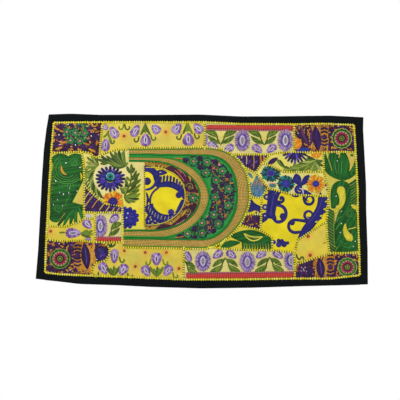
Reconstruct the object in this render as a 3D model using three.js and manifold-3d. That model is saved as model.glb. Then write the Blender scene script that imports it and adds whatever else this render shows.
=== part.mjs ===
// A patchwork wall hanging of old embroidered cloth: a backing sheet, patches sewn side by side on its
// front, a U-shaped neckline of braid laid over them, and a dark border folded round all four edges.
// Millimetres, +Z up. The front faces -Y, the wall is at y = 0 or behind it, and the origin is the middle
// of the top edge. Seen from the front, X runs to the right.
import * as THREE from "three";
import { mergeVertices } from "three/addons/utils/BufferGeometryUtils.js";
import Module from "manifold-3d";

const wasm = await Module();
wasm.setup();

// Thicknesses and clearances
const flapThickness = 1.0; // border cloth folded behind the backing
const backingThickness = 1.0;
const patchThickness = 1.1; // patch cloth with its embroidery
const layerGap = 0.3; // between one layer and the next
const seamInset = 0.2; // each patch stops this far short of its seam line
const braidLap = 0.4; // clearance round the neckline where it lies over the patches
const hemFold = 1.4; // border cloth and its clearance outside the backing's edge
const backFlapWidth = 16; // border cloth that shows on the back

// Distances off the wall, from the lowest layer to the front
const backingBack = flapThickness + layerGap;
const backingFront = backingBack + backingThickness;
const patchBack = backingFront + layerGap;
const patchFront = patchBack + patchThickness;

// Soft folds of the hanging cloth, one row each: where the fold runs at the top edge and at the hem, how
// wide it is, and how far it stands off the wall at each end
const hangHeight = 540;
const folds = [
  { topX: -455, hemX: -490, halfWidth: 120, topRise: 1.5, hemRise: 8.0 },
  { topX: -215, hemX: -245, halfWidth: 115, topRise: 2.5, hemRise: 4.5 },
  { topX: 35, hemX: 10, halfWidth: 130, topRise: 1.0, hemRise: 8.5 },
  { topX: 265, hemX: 250, halfWidth: 110, topRise: 3.0, hemRise: 4.0 },
  { topX: 480, hemX: 505, halfWidth: 105, topRise: 1.0, hemRise: 9.5 },
];

// How far the cloth stands off the wall at a place on it
function standOff(x, z) {
  const down = THREE.MathUtils.clamp(-z / hangHeight, 0, 1.1);
  return folds.reduce((sum, fold) => {
    const middle = THREE.MathUtils.lerp(fold.topX, fold.hemX, down);
    const rise = THREE.MathUtils.lerp(fold.topRise, fold.hemRise, down * down);
    return sum + rise * Math.exp(-(((x - middle) / fold.halfWidth) ** 2));
  }, 0);
}

// Outer edge of the border, as uneven as it was sewn
const outerTop = [[-505, 0], [-432, 3], [-342, 0], [-181, 1], [-20, 4], [109, -1], [238, 0], [399, 4], [505, 0]];
const outerRight = [[505, 0], [503, -41], [505, -123], [507, -219], [505, -299], [505, -425], [502, -531]];
const outerBottom = [
  [502, -531], [419, -534], [295, -538], [140, -544], [-15, -547], [-170, -544], [-263, -540], [-387, -537],
  [-450, -530], [-522, -523],
];
const outerLeft = [[-522, -523], [-519, -434], [-518, -276], [-518, -212], [-516, -115], [-511, -50], [-505, 0]];

// Places where seams meet or turn, shared by every patch that touches them
const seamPoints = {
  // along the border's inner edge
  topA: [-488, -27], topB: [-331, -24], topC: [-180, -23], topD: [-4, -21], topE: [109, -26], topF: [282, -26],
  topG: [382, -23], topH: [474, -26],
  rightA: [477, -115], rightB: [480, -236], rightC: [478, -331], rightD: [479, -435], rightE: [478, -503],
  bottomA: [389, -514], bottomB: [278, -515], bottomC: [109, -519], bottomD: [-66, -521], bottomE: [-202, -516],
  bottomF: [-351, -512], bottomG: [-451, -508], bottomH: [-494, -503],
  leftA: [-495, -401], leftB: [-495, -360], leftC: [-494, -260], leftD: [-492, -126],
  // left of the neckline
  cornerFoot: [-338, -136], cornerNotch: [-352, -139], cornerRise: [-370, -125], greenTop: [-395, -121],
  cornerMid: [-446, -124], cornerSide: [-336, -80], budsFoot: [-319, -125], budsKnee: [-281, -113],
  braidTopEnd: [-244, -114], braidTopUnder: [-190, -118], braidFootUnder: [-186, -382], braidFootEnd: [-257, -382],
  greenSide: [-387, -163], plumTip: [-383, -230], plumMid: [-350, -262], plumTurn: [-314, -288],
  plumEnd: [-261, -295], plumHeel: [-260, -315], scrapTop: [-346, -315], scrapSide: [-381, -315],
  scrapFoot: [-380, -335], scrapHeel: [-345, -334], budRise: [-394, -345], budMid: [-437, -361],
  asterFoot: [-343, -408], asterHeel: [-257, -407], asterMid: [-318, -408], budRow: [-392, -404],
  budRowEnd: [-455, -406], scallopA: [-299, -424], scallopB: [-296, -444], scallopC: [-309, -465],
  scallopD: [-340, -473], scallopE: [-349, -488],
  // below and above the neckline
  budsEdge: [-4, -112], budsUnder: [-147, -113], budsLow: [-250, -416], budsLowEnd: [-66, -418],
  asterLow: [0, -418], asterRim: [43, -424], asterRow: [109, -428], asterTurn: [209, -429], asterEnd: [277, -435],
  dotsFoot: [279, -473],
  // right of the neckline
  rimTopUnder: [60, -134], rimTop: [86, -126], plumRow: [179, -125], fernCorner: [205, -125],
  asterTop: [224, -120], asterTopEnd: [282, -117], greenTopRight: [374, -117], greenTopMid: [413, -114],
  fernHeel: [179, -153], fernDip: [200, -158], fernSeam: [246, -181], fernEnd: [375, -180],
  plumFoot: [158, -184], plumSide: [138, -174], plumUnder: [106, -158], tearUnder: [114, -205],
  tearSide: [181, -211], scrollTop: [199, -234], tearHeel: [184, -250], tearFoot: [177, -264],
  tearLow: [126, -262], scrollA: [236, -244], scrollB: [267, -252], scrollC: [299, -254], scrollD: [388, -257],
  greenBend: [388, -236], greenDip: [386, -284], dotsTop: [380, -338], dotsSide: [381, -379],
  dotsEnd: [387, -436], dotsRow: [375, -443], dotsMid: [343, -451], dotsLow: [306, -464],
  dotsLeft: [288, -396], dotsHeel: [280, -427],
  stripFoot: [175, -316], stripUnder: [116, -317], leafTop: [173, -366], leafUnder: [92, -347],
  leafShoulder: [209, -390],
};

// Each patch: its four sides as runs of seam points, and its cloth. Sides go top left to right, down,
// right to left, and up.
const patches = {
  patch_corner_top_left: {
    cloth: "plumCloth", top: "topA topB", right: "topB cornerSide cornerFoot",
    bottom: "cornerFoot cornerNotch cornerRise greenTop cornerMid leftD", left: "leftD topA",
  },
  patch_buds_top: {
    cloth: "strawCloth", top: "topB topC topD", right: "topD budsEdge",
    bottom: "budsEdge budsUnder braidTopEnd budsKnee budsFoot cornerFoot", left: "cornerFoot cornerSide topB",
  },
  patch_asters_top: {
    cloth: "paleCloth", top: "topD topE topF", right: "topF asterTopEnd",
    bottom: "asterTopEnd asterTop fernCorner plumRow rimTop rimTopUnder budsEdge", left: "budsEdge topD",
  },
  patch_corner_top_right: {
    cloth: "plumCloth", top: "topF topG topH", right: "topH rightA",
    bottom: "rightA greenTopMid greenTopRight asterTopEnd", left: "asterTopEnd topF",
  },
  patch_green_left: {
    cloth: "oliveCloth", top: "leftD cornerMid greenTop",
    right: "greenTop greenSide plumTip scrapSide scrapFoot", bottom: "scrapFoot budRise budMid leftB",
    left: "leftB leftC leftD",
  },
  patch_buds_left: {
    cloth: "strawCloth", top: "leftB budMid budRise scrapFoot scrapHeel", right: "scrapHeel asterFoot",
    bottom: "asterFoot budRow budRowEnd leftA", left: "leftA leftB",
  },
  patch_scrap_left: {
    cloth: "strawCloth", top: "scrapSide scrapTop", right: "scrapTop scrapHeel", bottom: "scrapHeel scrapFoot",
    left: "scrapFoot scrapSide",
  },
  patch_corner_bottom_left: {
    cloth: "plumCloth", top: "leftA budRowEnd budRow asterFoot asterMid",
    right: "asterMid scallopA scallopB scallopC scallopD scallopE bottomF",
    bottom: "bottomF bottomG bottomH", left: "bottomH leftA",
  },
  patch_aster_left: {
    cloth: "paleCloth", top: "scrapTop plumHeel", right: "plumHeel asterHeel",
    bottom: "asterHeel asterMid asterFoot", left: "asterFoot scrapHeel scrapTop",
  },
  patch_buds_bottom: {
    cloth: "strawCloth", top: "asterMid asterHeel budsLow budsLowEnd", right: "budsLowEnd bottomD",
    bottom: "bottomD bottomE bottomF", left: "bottomF scallopE scallopD scallopC scallopB scallopA asterMid",
  },
  patch_asters_bottom: {
    cloth: "paleCloth", top: "budsLowEnd asterLow asterRim asterRow asterTurn asterEnd",
    right: "asterEnd dotsFoot bottomB", bottom: "bottomB bottomC bottomD", left: "bottomD budsLowEnd",
  },
  patch_corner_bottom_right: {
    cloth: "plumCloth", top: "dotsFoot dotsLow dotsMid dotsRow dotsEnd rightD", right: "rightD rightE",
    bottom: "rightE bottomA bottomB", left: "bottomB dotsFoot",
  },
  patch_dots_right: {
    cloth: "strawCloth", top: "dotsLeft dotsTop", right: "dotsTop dotsSide dotsEnd",
    bottom: "dotsEnd dotsRow dotsMid dotsLow dotsFoot", left: "dotsFoot asterEnd dotsHeel dotsLeft",
  },
  patch_green_right: {
    cloth: "oliveCloth", top: "greenTopRight greenTopMid rightA", right: "rightA rightB rightC rightD",
    bottom: "rightD dotsEnd",
    left: "dotsEnd dotsSide dotsTop greenDip scrollD greenBend fernEnd greenTopRight",
  },
  patch_daisies_left: {
    cloth: "creamCloth",
    top: "greenTop cornerRise cornerNotch cornerFoot budsFoot budsKnee braidTopEnd braidTopUnder",
    right: "braidTopUnder braidFootUnder", bottom: "braidFootUnder braidFootEnd",
    left: "braidFootEnd plumHeel plumEnd plumTurn plumMid plumTip greenSide greenTop",
  },
  patch_plum_left: {
    cloth: "plumCloth", top: "plumTip plumMid plumTurn plumEnd", right: "plumEnd plumHeel",
    bottom: "plumHeel scrapTop scrapSide", left: "scrapSide plumTip",
  },
  patch_plum_right: {
    cloth: "plumCloth", top: "rimTop plumRow fernCorner", right: "fernCorner fernHeel plumFoot",
    bottom: "plumFoot plumSide plumUnder", left: "plumUnder rimTopUnder rimTop",
  },
  patch_teardrop_right: {
    cloth: "creamCloth", top: "plumUnder plumSide plumFoot",
    right: "plumFoot tearSide scrollTop tearHeel tearFoot", bottom: "tearFoot tearLow",
    left: "tearLow tearUnder plumUnder",
  },
  patch_fern_right: {
    cloth: "creamCloth", top: "fernCorner asterTop asterTopEnd greenTopRight", right: "greenTopRight fernEnd",
    bottom: "fernEnd fernSeam fernDip fernHeel", left: "fernHeel fernCorner",
  },
  patch_sunflower_right: {
    cloth: "creamCloth", top: "fernHeel fernDip fernSeam fernEnd", right: "fernEnd greenBend scrollD",
    bottom: "scrollD scrollC scrollB scrollA scrollTop", left: "scrollTop tearSide plumFoot fernHeel",
  },
  patch_scrolls_right: {
    cloth: "sunCloth", top: "tearFoot tearHeel scrollTop scrollA scrollB scrollC scrollD",
    right: "scrollD greenDip dotsTop", bottom: "dotsTop dotsLeft dotsHeel asterEnd asterTurn",
    left: "asterTurn leafShoulder leafTop stripFoot tearFoot",
  },
  patch_scroll_strip: {
    cloth: "sunCloth", top: "tearLow tearFoot", right: "tearFoot stripFoot", bottom: "stripFoot stripUnder",
    left: "stripUnder tearLow",
  },
  patch_plum_strip: {
    cloth: "plumCloth", top: "stripUnder stripFoot", right: "stripFoot leafTop", bottom: "leafTop leafUnder",
    left: "leafUnder stripUnder",
  },
  patch_leaf_right: {
    cloth: "oliveCloth", top: "leafUnder leafTop leafShoulder", right: "leafShoulder asterTurn",
    bottom: "asterTurn asterRow asterRim", left: "asterRim leafUnder",
  },
};

// The lines of the neckline, from the outside in. Each is an upper leg, a rounded end and a lower leg:
// the rounded end is half a superellipse, whose power may differ above and below its middle.
const necklineLines = {
  rim: { x: -8, z: -265, reach: 148, rise: 162, powerUp: 2.5, powerDown: 1.7, legTop: -108, legFoot: -424 },
  innerOfWideBraid: {
    x: -9, z: -263, reach: 109, rise: 134, powerUp: 2.5, powerDown: 1.9, legTop: -128, legFoot: -396,
  },
  outerOfSlimBraid: {
    x: -144, z: -264, reach: 154, rise: 127, powerUp: 1.9, powerDown: 1.9, legTop: -137, legFoot: -390,
  },
  innerOfSlimBraid: {
    x: -176, z: -260, reach: 157, rise: 110, powerUp: 1.9, powerDown: 2.1, legTop: -149, legFoot: -371,
  },
  oval: { x: -176, z: -262, reach: 114, rise: 95, powerUp: 2.15, powerDown: 2, legTop: -167, legFoot: -357 },
};
const legEnds = { top: -244, foot: -257 }; // x where the neckline's legs stop
const ovalEnds = { top: -193, foot: -187 }; // x of the straight side of the oval
const roundSteps = 16;

const clothLooks = {
  plumCloth: { color: 0x4a2148, roughness: 0.85 },
  strawCloth: { color: 0xe2cb4e, roughness: 0.9 },
  paleCloth: { color: 0xded287, roughness: 0.9 },
  oliveCloth: { color: 0xcfc548, roughness: 0.9 },
  creamCloth: { color: 0xeedf7e, roughness: 0.9 },
  sunCloth: { color: 0xf0dc22, roughness: 0.9 },
  braid: { color: 0xc99b45, roughness: 0.7 },
  fieldCloth: { color: 0x2a7a3c, roughness: 0.85 },
  borderCloth: { color: 0x1b1f28, roughness: 0.95 },
};

// One closed mesh as a solid that can be cut
function solidOf(geometry) {
  const bare = geometry.clone();
  bare.deleteAttribute("normal");
  bare.deleteAttribute("uv");
  const merged = mergeVertices(bare, 1e-4);
  return new wasm.Manifold(
    new wasm.Mesh({
      numProp: 3,
      vertProperties: new Float32Array(merged.attributes.position.array),
      triVerts: new Uint32Array(merged.index.array),
    }),
  );
}

// The cloth's folds between two distances off the wall, as one wide slab
const slabCell = 60;
function foldedSlab(near, far) {
  const left = -540;
  const bottom = -570;
  const columns = 18;
  const rows = 10;
  const positions = [];
  for (const away of [near, far]) {
    for (let row = 0; row <= rows; row++) {
      for (let column = 0; column <= columns; column++) {
        const x = left + column * slabCell;
        const z = bottom + row * slabCell;
        positions.push(x, -standOff(x, z) - away, z);
      }
    }
  }
  const layer = (columns + 1) * (rows + 1);
  const at = (column, row, side) => side * layer + row * (columns + 1) + column;
  const faces = [];
  const quad = (a, b, c, d) => faces.push(a, b, c, a, c, d);
  for (let row = 0; row < rows; row++) {
    for (let column = 0; column < columns; column++) {
      const corners = [[0, 0], [1, 0], [1, 1], [0, 1]].map(([i, j]) => [column + i, row + j]);
      quad(...corners.map(([i, j]) => at(i, j, 1)));
      // the same diagonal on the back, turned to face the wall
      const [a, b, c, d] = corners.map(([i, j]) => at(i, j, 0));
      faces.push(a, c, b, a, d, c);
    }
  }
  for (let column = 0; column < columns; column++) {
    quad(at(column, 0, 0), at(column + 1, 0, 0), at(column + 1, 0, 1), at(column, 0, 1));
    quad(at(column, rows, 1), at(column + 1, rows, 1), at(column + 1, rows, 0), at(column, rows, 0));
  }
  for (let row = 0; row < rows; row++) {
    quad(at(0, row, 1), at(0, row + 1, 1), at(0, row + 1, 0), at(0, row, 0));
    quad(at(columns, row, 0), at(columns, row + 1, 0), at(columns, row + 1, 1), at(columns, row, 1));
  }
  const geometry = new THREE.BufferGeometry();
  geometry.setAttribute("position", new THREE.Float32BufferAttribute(positions, 3));
  geometry.setIndex(faces);
  return solidOf(geometry);
}

// An outline moved inwards by a distance, or outwards if it is negative; its corners stay sharp
function insetOutline(points, distance) {
  const outline = points.map(([x, z]) => new THREE.Vector2(x, z));
  const turn = Math.sign(THREE.ShapeUtils.area(outline));
  const inward = (from, to) => {
    const along = to.clone().sub(from).normalize();
    return new THREE.Vector2(-along.y, along.x).multiplyScalar(turn);
  };
  return outline.map((corner, i) => {
    const before = outline[(i + outline.length - 1) % outline.length];
    const after = outline[(i + 1) % outline.length];
    const first = inward(before, corner);
    const second = inward(corner, after);
    const between = first.clone().add(second);
    const shift = between.multiplyScalar((2 * distance) / Math.max(between.lengthSq(), 0.6));
    return [corner.x + shift.x, corner.y + shift.y];
  });
}

// A straight-sided block with this outline, deep enough to pass through every layer
const blockDepth = 60;
const blockBehindWall = 10;
function blockOf(points) {
  const shape = new THREE.Shape(points.map(([x, z]) => new THREE.Vector2(x, z)));
  const geometry = new THREE.ExtrudeGeometry(shape, { depth: blockDepth, bevelEnabled: false });
  geometry.rotateX(Math.PI / 2);
  geometry.translate(0, blockBehindWall, 0);
  return solidOf(geometry);
}

// A line of the neckline, from the end of its upper leg round to the end of its lower leg
function necklineLine(line, ends) {
  const points = [[ends.top, line.legTop]];
  for (let step = 0; step <= roundSteps; step++) {
    const angle = Math.PI / 2 - (Math.PI * step) / roundSteps;
    const power = 2 / (angle >= 0 ? line.powerUp : line.powerDown);
    const across = Math.max(Math.cos(angle), 0) ** power;
    const up = Math.sign(Math.sin(angle)) * Math.abs(Math.sin(angle)) ** power;
    points.push([line.x + line.reach * across, line.z + line.rise * up]);
  }
  points.push([ends.foot, line.legFoot]);
  return points;
}

// The outline between two lines of the neckline
function bandOutline(outerName, innerName, innerEnds = legEnds) {
  const outer = necklineLine(necklineLines[outerName], legEnds);
  const inner = necklineLine(necklineLines[innerName], innerEnds);
  return [...outer, ...inner.reverse()];
}

// The outline of a patch, from its four sides
function patchOutline(patch) {
  return ["top", "right", "bottom", "left"].flatMap((side) =>
    patch[side].split(" ").slice(0, -1).map((name) => seamPoints[name]),
  );
}

// A named mesh from a solid, placed at the middle of its own box
function meshOf(solid, name, cloth) {
  const made = solid.getMesh();
  const geometry = new THREE.BufferGeometry();
  geometry.setAttribute("position", new THREE.Float32BufferAttribute(made.vertProperties, 3));
  geometry.setIndex(new THREE.Uint32BufferAttribute(made.triVerts, 1));
  geometry.computeBoundingBox();
  const middle = geometry.boundingBox.getCenter(new THREE.Vector3()).round();
  geometry.translate(-middle.x, -middle.y, -middle.z);
  geometry.computeVertexNormals();
  const material = new THREE.MeshStandardMaterial({ metalness: 0, ...clothLooks[cloth] });
  const mesh = new THREE.Mesh(geometry, material);
  mesh.name = name;
  mesh.position.copy(middle);
  return mesh;
}

const patchLayer = foldedSlab(patchBack, patchFront);
const outerOutline = [outerTop, outerRight, outerBottom, outerLeft].flatMap((side) => side.slice(0, -1));
const innerOutline = [
  "topA topB topC topD topE topF topG topH rightA rightB rightC rightD rightE",
  "bottomA bottomB bottomC bottomD bottomE bottomF bottomG bottomH leftA leftB leftC leftD",
].flatMap((run) => run.split(" ").map((name) => seamPoints[name]));

function buildBacking() {
  const sheet = foldedSlab(backingBack, backingFront).intersect(blockOf(insetOutline(outerOutline, hemFold)));
  return meshOf(sheet, "backing", "borderCloth");
}

// The border is folded round the backing's edge, so its section is a flat C. The side strips run the whole
// height, and the top and bottom strips fit between them.
function buildBorder() {
  const group = new THREE.Group();
  const front = blockOf(outerOutline).subtract(blockOf(insetOutline(innerOutline, -seamInset)));
  const back = blockOf(outerOutline).subtract(blockOf(insetOutline(outerOutline, backFlapWidth)));
  const rim = blockOf(outerOutline).subtract(blockOf(insetOutline(outerOutline, hemFold - layerGap)));
  const folded = front
    .intersect(patchLayer)
    .add(back.intersect(foldedSlab(0, flapThickness)))
    .add(rim.intersect(foldedSlab(0, patchFront)));
  const farOut = 600;
  const { topA, topH, rightE, bottomH } = seamPoints;
  const leftZone = [[-farOut, 40], [topA[0], 40], topA, bottomH, [bottomH[0], -farOut], [-farOut, -farOut]];
  const rightZone = [[topH[0], 40], [farOut, 40], [farOut, -farOut], [rightE[0], -farOut], rightE, topH];
  const upperZone = [[topA[0], 40], [topH[0], 40], topH, topA];
  const lowerZone = [bottomH, rightE, [rightE[0], -farOut], [bottomH[0], -farOut]];
  const middleLine = -270; // the top and bottom strips are told apart here
  const between = blockOf(insetOutline([[topA[0], 40], [topH[0], 40], topH, rightE,
    [rightE[0], -farOut], [bottomH[0], -farOut], bottomH, topA], seamInset));
  const above = blockOf([[-farOut, 40], [farOut, 40], [farOut, middleLine], [-farOut, middleLine]]);
  const strips = {
    border_left: folded.intersect(blockOf(insetOutline(leftZone, seamInset))),
    border_right: folded.intersect(blockOf(insetOutline(rightZone, seamInset))),
    border_top: folded.intersect(between).intersect(above),
    border_bottom: folded.intersect(between).subtract(above),
  };
  for (const [name, strip] of Object.entries(strips)) group.add(meshOf(strip, name, "borderCloth"));
  return group;
}

// The pieces of the neckline, from the outside in. The edging stops where the oval's straight side is.
const necklinePieces = [
  { name: "neckline_wide_braid", outline: bandOutline("rim", "innerOfWideBraid"), cloth: "braid" },
  { name: "neckline_field", outline: bandOutline("innerOfWideBraid", "outerOfSlimBraid"), cloth: "fieldCloth" },
  { name: "neckline_slim_braid", outline: bandOutline("outerOfSlimBraid", "innerOfSlimBraid"), cloth: "braid" },
  {
    name: "neckline_edging",
    outline: bandOutline("innerOfSlimBraid", "oval", ovalEnds),
    cloth: "plumCloth",
    stopsAt: [[ovalEnds.top, -100], [200, -100], [200, -420], [ovalEnds.foot, -420]],
  },
  { name: "neckline_oval", outline: necklineLine(necklineLines.oval, ovalEnds), cloth: "sunCloth" },
];

// A piece of the neckline as a block, drawn in from its lines by a distance or grown if it is negative
function necklineBlock({ outline, stopsAt }, inset) {
  const block = blockOf(insetOutline(outline, inset));
  return stopsAt ? block.intersect(blockOf(insetOutline(stopsAt, inset))) : block;
}

// Patches near the neckline run in under it, and are cut back to a small clearance round it here
function buildPatches() {
  const group = new THREE.Group();
  const neckline = necklinePieces.map((piece) => necklineBlock(piece, -braidLap)).reduce((a, b) => a.add(b));
  for (const [name, patch] of Object.entries(patches)) {
    const block = blockOf(insetOutline(patchOutline(patch), seamInset));
    group.add(meshOf(patchLayer.intersect(block).subtract(neckline), name, patch.cloth));
  }
  return group;
}

function buildNeckline() {
  const group = new THREE.Group();
  for (const piece of necklinePieces) {
    group.add(meshOf(patchLayer.intersect(necklineBlock(piece, seamInset)), piece.name, piece.cloth));
  }
  return group;
}

const wallHanging = new THREE.Group();
wallHanging.add(buildBacking(), buildBorder(), buildPatches(), buildNeckline());

export default wallHanging;
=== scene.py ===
import bpy
import math
import numpy as np
from mathutils import Matrix, Vector


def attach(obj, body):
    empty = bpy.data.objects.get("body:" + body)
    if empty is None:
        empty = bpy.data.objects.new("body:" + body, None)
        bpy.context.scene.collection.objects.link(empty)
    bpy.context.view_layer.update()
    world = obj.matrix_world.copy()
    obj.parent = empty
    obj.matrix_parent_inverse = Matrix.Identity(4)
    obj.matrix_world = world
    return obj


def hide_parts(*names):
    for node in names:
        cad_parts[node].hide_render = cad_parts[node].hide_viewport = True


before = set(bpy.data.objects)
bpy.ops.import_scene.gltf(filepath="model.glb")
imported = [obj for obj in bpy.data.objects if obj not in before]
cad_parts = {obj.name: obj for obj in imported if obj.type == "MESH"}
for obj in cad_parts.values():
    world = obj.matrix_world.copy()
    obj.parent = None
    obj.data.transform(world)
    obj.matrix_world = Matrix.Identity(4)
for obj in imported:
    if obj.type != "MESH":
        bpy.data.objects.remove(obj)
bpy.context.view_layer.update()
print("frame loaded,", len(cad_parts), "pieces")

# Lengths below are in millimetres and become metres when a mesh is made. X is right, Z is up, and the
# embroidered front faces -Y. A place on the cloth is (x, z).

# The photograph's camera: it stands a little below the middle of the cloth and looks slightly up
camera = {"lens": 50.0, "sensor": 36.0, "picture": 400, "distance": 1756.0, "tilt": 7.0, "roll": 0.5,
          "aim": (-17.3, -271.9)}
tilt, roll = math.radians(camera["tilt"]), math.radians(camera["roll"])
forward = np.array([0, math.cos(tilt), math.sin(tilt)])
level, upright = np.array([1.0, 0, 0]), np.array([0, -math.sin(tilt), math.cos(tilt)])
right = level * math.cos(roll) + upright * math.sin(roll)
up = upright * math.cos(roll) - level * math.sin(roll)
eye = np.array([camera["aim"][0], 0, camera["aim"][1]]) - forward * camera["distance"]
focal = camera["lens"] / camera["sensor"] * camera["picture"]


def fromPhoto(spots):
    # place on the cloth that is seen at a spot of the picture: the ray's meeting point with y = 0
    spots = np.asarray(spots, float)
    across = (spots[..., 0] - camera["picture"] / 2) / focal
    above = (camera["picture"] / 2 - spots[..., 1]) / focal
    ray = forward + across[..., None] * right + above[..., None] * up
    reach = -eye[1] / ray[..., 1]
    return np.stack([eye[0] + reach * ray[..., 0], eye[2] + reach * ray[..., 2]], axis=-1)


photoPixel = float(np.linalg.norm(fromPhoto([201, 200]) - fromPhoto([200, 200])))  # 3.2 mm of cloth


def lookCamera():
    # camera at the eye, turned so that it looks along the forward direction
    data = bpy.data.cameras.new("photoCamera")
    data.lens, data.sensor_width = camera["lens"], camera["sensor"]
    data.clip_start, data.clip_end = 0.05, 30
    holder = bpy.data.objects.new("photoCamera", data)
    turn = np.stack([right, up, -forward], axis=1)
    holder.matrix_world = Matrix([*(list(row) + [place / 1000] for row, place in zip(turn, eye)),
                                  [0, 0, 0, 1]])
    bpy.context.scene.collection.objects.link(holder)
    bpy.context.scene.camera = holder


# Folds of the hanging cloth: where each runs at the top edge and at the hem, how wide it is, and how far
# it stands off the wall at each end
hangHeight = 540
folds = [
    {"topX": -455, "hemX": -490, "halfWidth": 120, "topRise": 1.5, "hemRise": 8.0},
    {"topX": -215, "hemX": -245, "halfWidth": 115, "topRise": 2.5, "hemRise": 4.5},
    {"topX": 35, "hemX": 10, "halfWidth": 130, "topRise": 1.0, "hemRise": 8.5},
    {"topX": 265, "hemX": 250, "halfWidth": 110, "topRise": 3.0, "hemRise": 4.0},
    {"topX": 480, "hemX": 505, "halfWidth": 105, "topRise": 1.0, "hemRise": 9.5},
]
# Fine creases pressed into the cloth: soft troughs, each from one place to another
creases = [
    {"start": (-300, -5), "end": (-330, -300), "depth": 1.0, "halfWidth": 9},
    {"start": (150, 0), "end": (120, -545), "depth": 0.9, "halfWidth": 11},
    {"start": (-510, -270), "end": (505, -262), "depth": 0.8, "halfWidth": 8},
    {"start": (400, -120), "end": (500, -520), "depth": 0.9, "halfWidth": 12},
    {"start": (-500, -430), "end": (-250, -540), "depth": 1.0, "halfWidth": 10},
]


def standOff(x, z):
    # sum of folds, each a bell curve across whose middle and height change evenly down the cloth
    down = np.clip(-z / hangHeight, 0, 1.1)
    total = np.zeros_like(x, dtype=float)
    for fold in folds:
        middle = fold["topX"] + (fold["hemX"] - fold["topX"]) * down
        rise = fold["topRise"] + (fold["hemRise"] - fold["topRise"]) * down ** 2
        total += rise * np.exp(-((x - middle) / fold["halfWidth"]) ** 2)
    return total


def creaseDepth(x, z):
    # each crease is a bell curve of the distance from its line, fading out at both ends
    total = np.zeros_like(x, dtype=float)
    for crease in creases:
        start, end = np.array(crease["start"], float), np.array(crease["end"], float)
        way = end - start
        length = np.linalg.norm(way)
        share = ((x - start[0]) * way[0] + (z - start[1]) * way[1]) / length ** 2
        away = ((x - start[0]) * way[1] - (z - start[1]) * way[0]) / length
        inside = np.clip(share, 0, 1)
        fade = (4 * inside * (1 - inside)) ** 0.5
        total += crease["depth"] * np.exp(-(away / crease["halfWidth"]) ** 2) * fade
    return total


# Distances off the wall, from the back of the border to the front of the patches
layers = {"flap": 0.9, "backing": 2.2, "patch": 3.7, "neckline": 4.9}
random = np.random.default_rng(41)


def linear(hexColour):
    # sRGB hex to linear light
    value = np.array([int(hexColour[i:i + 2], 16) for i in (1, 3, 5)]) / 255
    return np.where(value <= 0.04045, value / 12.92, ((value + 0.055) / 1.055) ** 2.4)


def tints(*hexColours):
    return np.array([linear(colour) for colour in hexColours])


def addMesh(name, points, faces, colours=None, uvs=None, smooth=True):
    # faces is an array of quads; points and colours are per vertex, and uvs are per vertex in metres
    mesh = bpy.data.meshes.new(name)
    mesh.vertices.add(len(points))
    mesh.vertices.foreach_set("co", (np.asarray(points) / 1000).astype(np.float32).ravel())
    mesh.loops.add(faces.size)
    mesh.loops.foreach_set("vertex_index", faces.astype(np.int32).ravel())
    mesh.polygons.add(len(faces))
    mesh.polygons.foreach_set("loop_start", np.arange(0, faces.size, faces.shape[1], dtype=np.int32))
    mesh.polygons.foreach_set("use_smooth", np.full(len(faces), smooth))
    if colours is not None:
        layer = mesh.color_attributes.new("tint", "FLOAT_COLOR", "POINT")
        layer.data.foreach_set("color", np.c_[colours, np.ones(len(points))].astype(np.float32).ravel())
    if uvs is not None:
        layer = mesh.uv_layers.new(name="thread")
        layer.data.foreach_set("uv", uvs[faces.ravel()].astype(np.float32).ravel())
    mesh.update(calc_edges=True)
    mesh.validate()
    piece = bpy.data.objects.new(name, mesh)
    bpy.context.scene.collection.objects.link(piece)
    return piece


def gridFaces(rows, columns, turned=False):
    # quads of a grid whose vertices run along each row; turned reverses the side they face
    first = (np.arange(rows - 1)[:, None] * columns + np.arange(columns - 1)).ravel()
    quads = np.stack([first, first + 1, first + columns + 1, first + columns], axis=1)
    return quads[:, ::-1] if turned else quads


def resample(points, count):
    # points spaced evenly along a run of straight pieces
    points = np.asarray(points, float)
    steps = np.r_[0, np.cumsum(np.linalg.norm(np.diff(points, axis=0), axis=1))]
    wanted = np.linspace(0, steps[-1], count)
    return np.stack([np.interp(wanted, steps, points[:, i]) for i in (0, 1)], axis=1)


def lengthOf(line):
    # length of a run of straight pieces
    return np.linalg.norm(np.diff(line, axis=0), axis=1).sum()


def headings(line):
    # unit direction at each place of a line, or of many lines at once
    ahead = np.gradient(line, axis=-2)
    return ahead / np.maximum(np.linalg.norm(ahead, axis=-1, keepdims=True), 1e-6)


def leftOf(ahead):
    # a quarter turn to the left of each direction
    return np.stack([-ahead[..., 1], ahead[..., 0]], axis=-1)


def smoothLine(points, count, closed=False):
    # Catmull-Rom curve through the points, spaced evenly
    points = np.asarray(points, float)
    if closed:
        ends = np.r_[points[-1:], points, points[:2]]
    else:
        ends = np.r_[2 * points[:1] - points[1:2], points, 2 * points[-1:] - points[-2:-1]]
    p0, p1, p2, p3 = ends[:-3, None], ends[1:-2, None], ends[2:-1, None], ends[3:, None]
    t = np.linspace(0, 1, 12)[None, :, None]
    curve = 0.5 * (2 * p1 + (p2 - p0) * t + (2 * p0 - 5 * p1 + 4 * p2 - p3) * t ** 2
                   + (3 * p1 - p0 - 3 * p2 + p3) * t ** 3)
    return resample(curve.reshape(-1, 2), count)


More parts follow.
